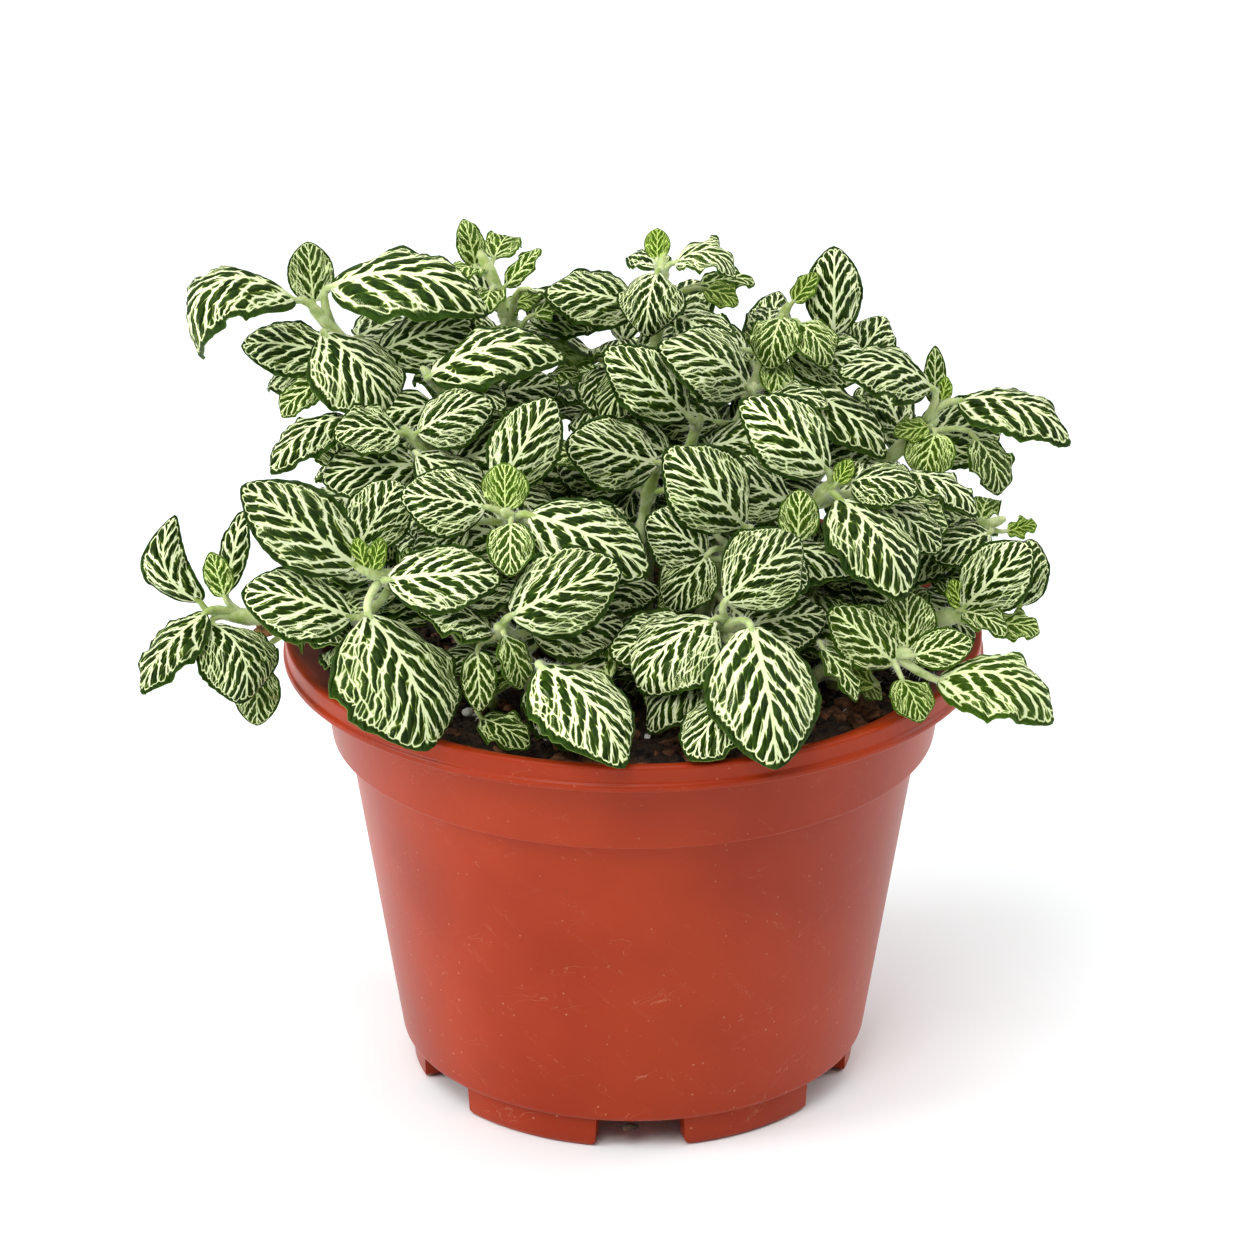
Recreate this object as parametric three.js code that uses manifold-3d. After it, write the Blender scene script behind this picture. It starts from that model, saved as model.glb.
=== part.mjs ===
// A potted nerve plant: a moulded plastic nursery pot on six feet, the soil that fills it, and the
// leafy stems that stand in the soil. Millimetres, +Z up, the surface it stands on at z = 0.
// The plant is laid out from the pot's axis. Last, the whole is centred on its bounding box.

import * as THREE from "three";
import { mergeVertices } from "three/addons/utils/BufferGeometryUtils.js";
import Module from "manifold-3d";

const wasm = await Module();
wasm.setup();

// Pot
const FOOT_HEIGHT = 5.9;
const FLOOR_THICKNESS = 1.2;
const WALL_THICKNESS = 1.1;
const WALL_BOTTOM_RADIUS = 40.5;
const WALL_TOP_RADIUS = 49.2;
const CORNER = 1.1;
const STEP_HEIGHT = 62.3;
const COLLAR_BOTTOM_RADIUS = 51.9;
const COLLAR_TOP_RADIUS = 54.2;
const RIM_RADIUS = 60;
const RIM_TOP = 81;
const LIP_HEIGHT = 4.4;
const SHOULDER_DROP = 2.5;
const POT_SEGMENTS = 36;

// Feet and drain holes
const FOOT_COUNT = 6;
const FOOT_OUTER_RADIUS = 38.9;
const FOOT_INNER_RADIUS = 35.2;
const FOOT_HALF_ANGLE = 19;
const FOOT_ROUNDING = 1.6;
const FOOT_ARC_STEPS = 3;
const PATTERN_TURN = 1.7;
const DRAIN_RADIUS = 3;
const DRAIN_CIRCLE = 29;
const MIDDLE_DRAIN_RADIUS = 4;
const DRAIN_SIDES = 10;

// Soil
const CLEARANCE = 0.3;
const SOIL_LEVEL = 74.4;
const SOIL_CROWN = 2.2;
const SOIL_BUMP = 0.9;
const SOIL_EDGE_RADIUS = 52.2;
const SOIL_SEGMENTS = 18;
const SOIL_RINGS = [18, 36];

// Stems
const STEM_SIDES = 5;
const STEM_ROOT_RADIUS = 1.5;
const STEM_TIP_RADIUS = 1.2;
const ROOT_DEPTH = 9;
const HOLE_SIDES = 4;
const STEM_STATIONS = [0, 0.5, 1];

// Leaves
const BLADE_THICKNESS = 0.8;
const STALK_HALF_WIDTH = 0.8;
const STALK_THICKNESS = 1.2;
const BASE_POWER = 0.5;
const TIP_POWER = 0.62;
const CUP = -0.16;
const YOUNG_CUP = 0.15;
const YOUNG_LENGTH = 12;
const RIPPLE = 0.7;
const RIPPLE_WAVES = 2.5;
const LONG_LENGTH = 21;
const LONG_STATIONS = [0.13, 0.38, 0.64, 0.86];
const MIDDLE_STATIONS = [0.15, 0.45, 0.78];
const YOUNG_STATIONS = [0.22, 0.6];
const LONG_STALK = 4;
const FOLDED = [-1, 0, 1];
const FLAT = [-1, 1];
const FOLDED_WIDTH = 5.5;
const NEAREST_STEPS = 40;
const STALK_SETBACK = 0.06;
const STALK_STEP = 0.011;
const LEAF_GAP = 0.35;
const SIBLING_CROSSING = 1.5;

const DEGREE = Math.PI / 180;
const UP = new THREE.Vector3(0, 0, 1);
const FRONT = new THREE.Vector3(0, -1, 0);

// The stems that show from the front. A stem has its place in the soil, its crown, and its leaves.
// A leaf is its blade's base, its tip, its width, the rise of its arched midrib, how far the midrib
// bows to its right, and how far its face leans to the front, in degrees.
const FRONT_STEMS = [
  {
    // top left
    foot: [-28, 5],
    crown: [-54, 8, 135],
    leaves: [
      [[-57, 7, 137], [-78, -2, 131], 14, 10, 0, 20],
      [[-54, 9, 136], [-55, 12, 146], 8, 0, 0, 50],
      [[-51, 8, 139], [-23, 2, 138], 15, 6, 0, 35],
      [[-52, 4, 132], [-40, -8, 121], 17, 3, 0, 15],
      [[-52, 4, 124], [-60, 0, 119], 6, 1, 0, 30],
      [[-48, -6, 121], [-60.5, -16, 115], 9, 3, 0, 20],
    ],
  },
  {
    // below it, facing the front
    foot: [-20, -8],
    crown: [-38, -10, 120],
    leaves: [
      [[-39, -11, 120], [-51, -14, 120], 10, 2, 0, 45],
      [[-36, -11, 120], [-23, -12, 126], 11, 2, 0, 45],
      [[-36, -13, 117], [-24, -20, 112], 10, 1, 0, 30],
    ],
  },
  {
    // top, left of the middle, half hidden
    foot: [-12, 12],
    crown: [-26, 22, 140],
    leaves: [
      [[-27, 22, 138], [-29, 24, 146], 5, 1, 0, 40],
      [[-22, 20, 135], [-16, 20, 142], 4, 0, 0, 40],
      [[-22, 20, 132], [-16, 17, 134], 5, 0, 0, 30],
      [[-18, 16, 136], [-5, 12, 134], 8, 1, 0, -18],
      [[-17, 14, 132], [-9, 12, 135], 5, 1, 0, 30],
    ],
  },
  {
    // behind the second, with one arched leaf to the right
    foot: [-17, 2],
    crown: [-35, 0, 127],
    leaves: [[[-34, -3, 127], [-11, -6, 131], 12, 5.5, 0, 35]],
  },
  {
    // middle left, with a bud and four leaves round it
    foot: [-11, -19],
    crown: [-21, -32, 114],
    leaves: [
      [[-21, -31, 114], [-21, -30, 122], 8, 0, 0, 70],
      [[-24, -32, 115], [-38, -34, 118], 12, 1.5, 0, 55],
      [[-17, -33, 114], [3, -38, 106], 15, 3, 0, 45],
      [[-20, -34, 113], [-20, -42, 107], 8, 1, 0, 20],
      [[-22, -26, 116], [-13, -20, 130], 12, 2, 0, 65],
      [[-27, -30, 111], [-37, -30, 105], 8, 1, 0, 50],
    ],
  },
  {
    // centre
    foot: [-1, -8],
    crown: [4, -10, 114],
    leaves: [
      [[4, -12, 115], [-11, -18, 121], 13, 1, 0, 60],
      [[-6, -8, 114], [-16, -10, 116], 6, 1, 0, 30],
    ],
  },
  {
    // top middle
    foot: [2, 7],
    crown: [5, 10, 143],
    leaves: [
      [[4, 11, 143], [4, 13, 148], 4.5, 0, 0, 50],
      [[4, 7, 142], [2, -1, 133], 12, 3, 0, 10],
      [[7, 9, 143], [18, 6, 142], 9, 3.5, 0, 20],
      [[11, 12, 138], [21, 12, 139], 5, 1, 0, 30],
      [[12, 10, 138], [18, 8, 136], 5, 1, 0, 40],
    ],
  },
  {
    // right of the middle, with a leaf that arches back to the left
    foot: [12, 1],
    crown: [20, 0, 124],
    leaves: [[[19, -3, 125], [4, -8, 135], 14, 5, 0, 50]],
  },
  {
    // middle, with a leaf that stands up to the left
    foot: [5, -2],
    crown: [11, -5, 120],
    leaves: [[[9, -8, 122], [-5, -8, 134], 12, 3, 0, 60]],
  },
  {
    // top right
    foot: [14, 9],
    crown: [26, 12, 134],
    leaves: [
      [[25, 10, 133], [23, 3, 126], 9, 2, 0, 10],
      [[28, 10, 132], [33, 4, 126], 8, 2, 0, 20],
      [[27, 12, 135], [31, 13, 140], 4, 0, 0, 40],
      [[34, 12, 129], [34, 16, 144], 10, 1, 0, 60],
      [[27, 2, 123], [43, -8, 115], 10, 3, 0, 30],
    ],
  },
  {
    // far right, high
    foot: [28, 3],
    crown: [51, 5, 116],
    leaves: [
      [[51, 5, 119], [51, 7, 129], 4, 0, 0, 70],
      [[52, 5, 119], [53, 5, 124], 3, 0, 0, 60],
      [[55, 4, 120], [74, -4, 116], 12, 4, 0, 20],
      [[50, 3, 123], [34, -2, 128], 12, 4, 0, 35],
      [[50, 3, 116], [44, 0, 116], 5, 0, 0, 40],
      [[58, 2, 114], [62, -4, 106], 8, 2, 0, 10],
      [[51, 2, 115], [49, -4, 109], 9, 1, 0, 10],
      [[46, -6, 111], [58, -14, 107], 8, 2, 0, 10],
    ],
  },
  {
    // far right, behind the rim leaves
    foot: [35, -4],
    crown: [62, -5, 102],
    leaves: [
      [[60, -8, 101], [50, -16, 100], 9, 1, 0, 50],
      [[63, -5, 100], [68, -6, 102], 4, 0, 0, 30],
    ],
  },
  {
    // middle right, with a bud and three large leaves
    foot: [18, -11],
    crown: [34, -18, 114],
    leaves: [
      [[32, -18, 116], [17, -18, 129], 13, 5, 0, 60],
      [[36, -18, 114], [47, -24, 115], 10, 2, 0, 35],
      [[34, -21, 112], [45, -38, 102], 15, 3, 0, 10],
      [[33.5, -19, 114], [36, -18, 118], 3.5, 0, 0, 60],
      [[43, -14, 108], [52, -20, 106], 9, 1, 0, 30],
      [[41, -17, 110], [51, -24, 104], 9, 1.5, 0, 35],
    ],
  },
  {
    // middle, below the arched leaf
    foot: [10, -15],
    crown: [19, -24, 108],
    leaves: [
      [[18, -25, 109], [5, -25, 123], 15, 4, 0, 60],
      [[27, -25, 106], [28, -20, 118], 10, 1, 0, 70],
      [[12, -26, 104], [2, -28, 112], 12, 2, 0, 55],
      [[12, -27, 104.5], [5.5, -33, 97], 10, 1, 0, 50],
    ],
  },
  {
    // the runner that leans out over the rim on the left
    foot: [-38, -15],
    crown: [-69, -22, 92],
    leaves: [
      [[-72, -22, 94], [-76, -20, 109], 8, 1, -4, 50],
      [[-71, -24, 93], [-82, -34, 83], 9, 2, 0, 20],
      [[-68, -22, 95], [-70, -22, 103], 5, 0, 0, 60],
      [[-68, -20, 95], [-65, -14, 108], 5, 1, 0, 50],
      [[-70, -24, 91], [-64, -34, 81], 14, 2, -2, 15],
      [[-63, -20, 82], [-63, -26, 73], 8, 1, 0, 10],
    ],
  },
  {
    // front left, with the large leaf that hangs to the rim
    foot: [-24, -23],
    crown: [-43, -38, 106],
    leaves: [
      [[-45, -38, 107], [-64, -34, 120], 14, 3, 0, 60],
      [[-40, -39, 105], [-21, -42, 107], 12, 2, 0, 50],
      [[-43, -42, 100], [-32, -57, 83], 23, 3, 0, 0],
      [[-46, -38, 98], [-64, -40, 104], 13, 2, 0, 45],
      [[-43.5, -38, 106], [-45, -38, 112], 3.5, 0, 0, 60],
      [[-42.5, -38, 106], [-41, -38, 112], 3.5, 0, 0, 60],
      [[-45, -32, 108], [-38, -26, 118], 11, 1, 0, 65],
    ],
  },
  {
    // front, left of the middle
    foot: [-16, -28],
    crown: [-22, -42, 98],
    leaves: [
      [[-20, -42, 100], [-3, -42, 111], 15, 2, 0, 60],
      [[-21, -43, 97], [-18, -45, 88], 6, 1, 0, 10],
      [[-25.5, -40, 93], [-25, -45, 84], 6, 1, 0, 20],
      [[-25, -40, 81], [-17, -47, 79], 7, 1, 0, 30],
    ],
  },
  {
    // front middle, with a leaf that hangs to the rim
    foot: [-6, -30],
    crown: [-15, -43, 91],
    leaves: [
      [[-15, -47, 93], [-1, -63, 83], 17, 4, 0, 15],
      [[-4, -40, 88], [-7, -36, 95], 5, 0, 0, 60],
    ],
  },
  {
    // front, right of the middle, with four large leaves
    foot: [10, -27],
    crown: [16, -38, 97],
    leaves: [
      [[15, -38, 101], [28, -34, 111], 15, 4, 0, 60],
      [[13, -39, 98], [0, -48, 89], 17, 4, 0, 25],
      [[19, -42, 98], [23, -62, 82], 19, 3, 0, 0],
      [[13, -38, 92], [2, -48, 82], 13, 2, 0, 10],
      [[17, -47, 89], [9, -60, 83], 12, 1, 0, 10],
    ],
  },
  {
    // front right, bright in its middle
    foot: [27, -22],
    crown: [45, -34, 90],
    leaves: [
      [[45, -33, 90], [45, -28, 99], 10, 1, 0, 60],
      [[43, -33, 90], [37, -32, 98], 7, 1, 0, 60],
      [[46, -35, 90], [56, -36, 93], 7, 1, 0, 60],
      [[50, -36, 86], [70, -44, 83], 14, 6, 0, 30],
      [[44, -38, 87], [47, -44, 82], 7.5, 1, 0, 10],
      [[43, -34, 88], [32, -34, 98], 10, 2, 0, 60],
      [[40, -31, 83], [34, -31, 86], 5, 0, 0, 40],
      [[31, -34, 91], [37, -40, 84], 5, 1, 0, 10],
    ],
  },
  {
    // right, low, at the rim
    foot: [34, -14],
    crown: [55, -20, 91],
    leaves: [
      [[55, -20, 92], [66, -20, 104], 12, 2, 0, 60],
      [[65, -14, 90], [67, -10, 101], 8, 1, 0, 60],
      [[60, -20, 89], [68, -22, 89], 6, 1, 0, 30],
      [[55, -20, 92], [53, -19, 97], 4, 0, 0, 60],
      [[55, -21, 92], [62, -28, 91], 6, 1, 0, 20],
    ],
  },
];

// The stems of the back half: rows of crowns on arcs round the pot's axis, each arc with its
// radius, its height, its first and last bearing and its count.
const BACK_ROWS = [
  { radius: 21, height: 121, first: 97, last: 97, count: 1 },
  { radius: 36, height: 116, first: 22, last: 158, count: 5 },
  { radius: 51, height: 100, first: 19, last: 159, count: 7 },
];
const BACK_FOOT_SHARE = 0.58;
const BACK_JITTER = 2.5;
const BACK_LEAN = 35;

// The pairs of leaves on a stem of the back half: how far up the stem, leaf length and rise.
const BACK_PAIRS = [
  { along: 1, length: 13, rise: 34 },
  { along: 0.97, length: 22, rise: 12 },
  { along: 0.8, length: 21, rise: -8 },
];

// The leaf inside the front half, behind the ones that show, on stems with their crown in front of
// the pot's axis.
const INNER_LEAF = { along: 0.55, length: 18, rise: 0 };
const INNER_BEARING = 95;
const INNER_SPREAD = 55;

// The pair between the leaves that show, which faces the front, on stems whose crown is near enough
// to the pot's axis.
const FILLING_PAIR = { along: 0.8, length: 16, rise: 5 };
const FILLING_BEARING = -10;
const FILLING_SPREAD = 40;
const FILLING_LEAN = 50;
const FILLING_REACH = 60;

// The form of a leaf of any pair, as shares of its length, and its stalk.
const PAIR_WIDTH_SHARE = 0.66;
const PAIR_ARCH_SHARE = 0.12;
const PAIR_STALK = 3.5;

// How a leaf gives way to its neighbours: it turns, rises and shortens, the smallest change first.
const SMALL_MOVES = [
  [0, 0, 1], [0, 6, 1], [0, -6, 1], [7, 0, 1], [-7, 0, 1], [7, 7, 0.95], [-7, 7, 0.95],
  [7, -7, 0.95], [-7, -7, 0.95], [0, 12, 0.95], [0, -12, 0.95], [13, 0, 0.95], [-13, 0, 0.95],
  [13, 12, 0.9], [-13, 12, 0.9], [13, -12, 0.9], [-13, -12, 0.9], [0, 0, 0.8], [0, 18, 0.9],
  [0, -18, 0.9], [20, 0, 0.85], [-20, 0, 0.85], [0, 10, 0.7], [0, -10, 0.7], [15, 10, 0.65],
  [-15, 10, 0.65], [15, -10, 0.65], [-15, -10, 0.65],
];
const WIDE_MOVES = [
  [0, 0, 1], [0, 12, 1], [0, -12, 1], [16, 0, 1], [-16, 0, 1], [30, 0, 0.95], [-30, 0, 0.95],
  [20, 20, 0.9], [-20, 20, 0.9], [20, -16, 0.9], [-20, -16, 0.9], [0, 30, 0.85], [0, -25, 0.85],
  [0, 0, 0.75], [35, 20, 0.75], [-35, 20, 0.75],
];

const MATERIALS = {
  pot: new THREE.MeshStandardMaterial({ color: 0xb4502f, roughness: 0.45, metalness: 0 }),
  soil: new THREE.MeshStandardMaterial({ color: 0x2a1a10, roughness: 0.95, metalness: 0 }),
  leafy_stem: new THREE.MeshStandardMaterial({ color: 0x4d7a34, roughness: 0.5, metalness: 0 }),
};

// Repeatable draws between 0 and 1, so that each run places the same leaves.
class Draws {
  constructor(seed) {
    this.state = seed;
  }

  next() {
    this.state = (this.state * 1664525 + 1013904223) % 4294967296;
    return this.state / 4294967296;
  }

  between(low, high) {
    return low + (high - low) * this.next();
  }
}

function vector(values) {
  return new THREE.Vector3(...values);
}

// A closed geometry as a solid, with its shared vertices merged.
function solidOf(geometry) {
  geometry.deleteAttribute("normal");
  geometry.deleteAttribute("uv");
  const merged = mergeVertices(geometry, 1e-4);
  return new wasm.Manifold(
    new wasm.Mesh({
      numProp: 3,
      vertProperties: merged.attributes.position.array,
      triVerts: new Uint32Array(merged.index.array),
    }),
  );
}

function geometryFrom(points, triangles) {
  const geometry = new THREE.BufferGeometry().setFromPoints(points);
  geometry.setIndex(triangles.flat());
  return geometry;
}

function meshOf(name, solid, material) {
  const { numProp, vertProperties, triVerts } = solid.getMesh();
  const count = vertProperties.length / numProp;
  const positions = new Float32Array(count * 3);
  for (let i = 0; i < count; i++) {
    positions.set(vertProperties.subarray(i * numProp, i * numProp + 3), i * 3);
  }
  const geometry = new THREE.BufferGeometry();
  geometry.setAttribute("position", new THREE.BufferAttribute(positions, 3));
  geometry.setIndex(new THREE.BufferAttribute(triVerts, 1));
  geometry.computeVertexNormals();
  const mesh = new THREE.Mesh(geometry, material);
  mesh.name = name;
  return mesh;
}

// A ring of points on a circle round the Z axis.
function levelRing(radius, z, segments) {
  return Array.from({ length: segments }, (_, i) => {
    const angle = (i * 2 * Math.PI) / segments;
    return new THREE.Vector3(radius * Math.sin(angle), -radius * Math.cos(angle), z);
  });
}

// A solid through rings of like count, each wound anticlockwise as seen from the last ring's end.
function loft(rings) {
  const size = rings[0].length;
  const triangles = [];
  for (let r = 0; r + 1 < rings.length; r++) {
    for (let i = 0; i < size; i++) {
      const a = r * size + i;
      const b = r * size + ((i + 1) % size);
      triangles.push([a, b, b + size], [a, b + size, a + size]);
    }
  }
  const top = (rings.length - 1) * size;
  for (let i = 1; i + 1 < size; i++) {
    triangles.push([0, i + 1, i], [top, top + i, top + i + 1]);
  }
  return solidOf(geometryFrom(rings.flat(), triangles));
}

// The pot's section, from the axis under the floor, up the outside, and down the inside.
function potSection() {
  const lipBottom = RIM_TOP - LIP_HEIGHT;
  const underFlange = lipBottom + WALL_THICKNESS;
  const innerShoulder = RIM_TOP - SHOULDER_DROP;
  return [
    [0, FOOT_HEIGHT],
    [WALL_BOTTOM_RADIUS - CORNER, FOOT_HEIGHT],
    [WALL_BOTTOM_RADIUS, FOOT_HEIGHT + CORNER],
    [WALL_TOP_RADIUS, STEP_HEIGHT],
    [COLLAR_BOTTOM_RADIUS, STEP_HEIGHT + 0.4],
    [COLLAR_TOP_RADIUS, underFlange + 0.4],
    [RIM_RADIUS - WALL_THICKNESS, underFlange],
    [RIM_RADIUS - WALL_THICKNESS, lipBottom],
    [RIM_RADIUS, lipBottom],
    [RIM_RADIUS, RIM_TOP - 0.9],
    [RIM_RADIUS - 0.7, RIM_TOP],
    [RIM_RADIUS - 1.8, RIM_TOP],
    [RIM_RADIUS - 4, RIM_TOP - 1],
    [COLLAR_TOP_RADIUS - WALL_THICKNESS, innerShoulder],
    [COLLAR_BOTTOM_RADIUS - WALL_THICKNESS, STEP_HEIGHT + WALL_THICKNESS + 0.3],
    [WALL_TOP_RADIUS - WALL_THICKNESS, STEP_HEIGHT + 0.5],
    [WALL_BOTTOM_RADIUS - WALL_THICKNESS, FOOT_HEIGHT + FLOOR_THICKNESS],
    [0, FOOT_HEIGHT + FLOOR_THICKNESS],
  ].map(([r, z]) => new THREE.Vector2(r, z));
}

// One foot: a curved block under the floor that narrows to rounded lower corners.
function potFoot(bearing) {
  const levels = [
    { z: 0, inset: FOOT_ROUNDING * 0.6, half: FOOT_HALF_ANGLE - 3.6 },
    { z: FOOT_ROUNDING, inset: 0.3, half: FOOT_HALF_ANGLE - 1.6 },
    { z: FOOT_HEIGHT + FLOOR_THICKNESS / 2, inset: 0, half: FOOT_HALF_ANGLE },
  ];
  const arcPoint = (radius, degrees, z) => {
    const angle = (bearing + degrees) * DEGREE;
    return new THREE.Vector3(radius * Math.sin(angle), -radius * Math.cos(angle), z);
  };
  const points = [];
  const size = FOOT_ARC_STEPS + 1;
  for (const { z, inset, half } of levels) {
    for (const radius of [FOOT_OUTER_RADIUS - inset, FOOT_INNER_RADIUS + inset / 2]) {
      for (let i = 0; i < size; i++) {
        points.push(arcPoint(radius, half * ((2 * i) / FOOT_ARC_STEPS - 1), z));
      }
    }
  }
  const outer = (level, i) => level * 2 * size + i;
  const inner = (level, i) => level * 2 * size + size + i;
  const quad = (a, b, c, d) => [[a, b, c], [a, c, d]];
  const triangles = [];
  const last = levels.length - 1;
  for (let i = 0; i < FOOT_ARC_STEPS; i++) {
    triangles.push(...quad(inner(0, i), inner(0, i + 1), outer(0, i + 1), outer(0, i)));
    triangles.push(
      ...quad(outer(last, i), outer(last, i + 1), inner(last, i + 1), inner(last, i)),
    );
    for (let k = 0; k < last; k++) {
      triangles.push(...quad(outer(k, i), outer(k, i + 1), outer(k + 1, i + 1), outer(k + 1, i)));
      triangles.push(...quad(inner(k, i + 1), inner(k, i), inner(k + 1, i), inner(k + 1, i + 1)));
    }
  }
  for (let k = 0; k < last; k++) {
    const end = FOOT_ARC_STEPS;
    triangles.push(...quad(inner(k, 0), outer(k, 0), outer(k + 1, 0), inner(k + 1, 0)));
    triangles.push(...quad(outer(k, end), inner(k, end), inner(k + 1, end), outer(k + 1, end)));
  }
  return solidOf(geometryFrom(points, triangles));
}

function drainHole(radius, distance, bearing) {
  const hole = new THREE.CylinderGeometry(radius, radius, 4 * FLOOR_THICKNESS, DRAIN_SIDES);
  hole.rotateX(90 * DEGREE);
  const angle = bearing * DEGREE;
  const x = distance * Math.sin(angle);
  const y = -distance * Math.cos(angle);
  hole.translate(x, y, FOOT_HEIGHT + FLOOR_THICKNESS / 2);
  return solidOf(hole);
}

function makePot() {
  const body = new THREE.LatheGeometry(potSection(), POT_SEGMENTS);
  body.rotateX(90 * DEGREE);
  let pot = solidOf(body);
  for (let i = 0; i < FOOT_COUNT; i++) {
    const gap = PATTERN_TURN + (i * 360) / FOOT_COUNT;
    pot = pot.add(potFoot(gap + 180 / FOOT_COUNT));
    pot = pot.subtract(drainHole(DRAIN_RADIUS, DRAIN_CIRCLE, gap));
  }
  return pot.subtract(drainHole(MIDDLE_DRAIN_RADIUS, 0, 0));
}

// The height of the soil's lumpy top, a little fuller in the middle.
function soilTop(x, y) {
  const fall = (x * x + y * y) / (SOIL_EDGE_RADIUS * SOIL_EDGE_RADIUS);
  const lumps = Math.sin(0.31 * x + 0.9) * Math.cos(0.27 * y - 0.4);
  return SOIL_LEVEL + SOIL_CROWN * (1 - fall) + SOIL_BUMP * lumps;
}

// The soil fills the pot, a hair's breadth clear of its wall and floor.
function makeSoil(feet) {
  const onTop = (radius) =>
    levelRing(radius, 0, SOIL_SEGMENTS).map((p) => p.setZ(soilTop(p.x, p.y)));
  const inside = WALL_THICKNESS + CLEARANCE;
  const sides = [
    [WALL_BOTTOM_RADIUS - inside - 1, FOOT_HEIGHT + FLOOR_THICKNESS + CLEARANCE],
    [WALL_BOTTOM_RADIUS - inside, FOOT_HEIGHT + FLOOR_THICKNESS + 2],
    [WALL_TOP_RADIUS - inside, STEP_HEIGHT + 0.4],
    [COLLAR_BOTTOM_RADIUS - inside, STEP_HEIGHT + WALL_THICKNESS + 1],
  ];
  const rings = [
    ...sides.map(([radius, z]) => levelRing(radius, z, SOIL_SEGMENTS)),
    ...[SOIL_EDGE_RADIUS, ...SOIL_RINGS.toReversed()].map(onTop),
  ];
  const points = rings.flat();
  const centre = points.push(new THREE.Vector3(0, 0, soilTop(0, 0))) - 1;
  const triangles = [];
  for (let r = 0; r + 1 < rings.length; r++) {
    for (let i = 0; i < SOIL_SEGMENTS; i++) {
      const a = r * SOIL_SEGMENTS + i;
      const b = r * SOIL_SEGMENTS + ((i + 1) % SOIL_SEGMENTS);
      triangles.push([a, b, b + SOIL_SEGMENTS], [a, b + SOIL_SEGMENTS, a + SOIL_SEGMENTS]);
    }
  }
  const top = (rings.length - 1) * SOIL_SEGMENTS;
  for (let i = 0; i < SOIL_SEGMENTS; i++) {
    triangles.push([top + i, top + ((i + 1) % SOIL_SEGMENTS), centre]);
  }
  for (let i = 1; i + 1 < SOIL_SEGMENTS; i++) {
    triangles.push([0, i + 1, i]);
  }
  let soil = solidOf(geometryFrom(points, triangles));
  for (const [x, y] of feet) {
    soil = soil.subtract(stemHole(x, y));
  }
  return soil;
}

function stemHole(x, y) {
  const radius = (STEM_ROOT_RADIUS + CLEARANCE) / Math.cos(Math.PI / HOLE_SIDES);
  const depth = ROOT_DEPTH + CLEARANCE;
  const hole = new THREE.CylinderGeometry(radius, radius, 2 * depth, HOLE_SIDES);
  hole.rotateX(90 * DEGREE);
  hole.translate(x, y, soilTop(x, y));
  return solidOf(hole);
}

// The line of a stem above the soil: it rises first, then leans out to its crown.
function stemLine({ foot, crown }) {
  const [x, y] = foot;
  const start = new THREE.Vector3(x, y, soilTop(x, y) + 1);
  const end = vector(crown);
  const bend = start.clone().lerp(end, 0.25);
  bend.z = start.z + 0.7 * (end.z - start.z);
  return new THREE.QuadraticBezierCurve3(start, bend, end);
}

function makeStem(stem) {
  const line = stemLine(stem);
  const [x, y] = stem.foot;
  const root = new THREE.Vector3(x, y, soilTop(x, y) - ROOT_DEPTH);
  const sections = [{ centre: root, along: UP, radius: STEM_ROOT_RADIUS }];
  for (const t of STEM_STATIONS) {
    const along = t === 0 ? UP : line.getTangent(t);
    const radius = THREE.MathUtils.lerp(STEM_ROOT_RADIUS, STEM_TIP_RADIUS, t);
    sections.push({ centre: line.getPoint(t), along, radius });
  }
  const rings = sections.map(({ centre, along, radius }) => {
    const turn = new THREE.Quaternion().setFromUnitVectors(UP, along);
    return levelRing(radius, 0, STEM_SIDES).map((p) => p.applyQuaternion(turn).add(centre));
  });
  return loft(rings);
}

// The point of the stem that a leaf's stalk grows from: a little below the nearest one, and lower
// for each leaf in turn, so that no two stalks start at one point.
function stalkRoot(line, base, order) {
  let nearest = 0;
  let least = Infinity;
  for (let i = 0; i <= NEAREST_STEPS; i++) {
    const distance = line.getPoint(i / NEAREST_STEPS).distanceTo(base);
    if (distance < least) {
      least = distance;
      nearest = i / NEAREST_STEPS;
    }
  }
  return line.getPoint(Math.max(0.1, nearest - STALK_SETBACK - STALK_STEP * order));
}

// A leaf turned about the vertical, raised and resized at its base.
function movedLeaf(leaf, [turn, raise, size]) {
  const reach = leaf.tip.clone().sub(leaf.base);
  const bearing = Math.atan2(reach.y, reach.x) + turn * DEGREE;
  const rise = Math.atan2(reach.z, Math.hypot(reach.x, reach.y)) + raise * DEGREE;
  const direction = new THREE.Vector3(
    Math.cos(rise) * Math.cos(bearing),
    Math.cos(rise) * Math.sin(bearing),
    Math.sin(rise),
  );
  const tip = leaf.base.clone().addScaledVector(direction, reach.length() * size);
  return { ...leaf, tip, width: leaf.width * size, arch: leaf.arch * size };
}

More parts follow.
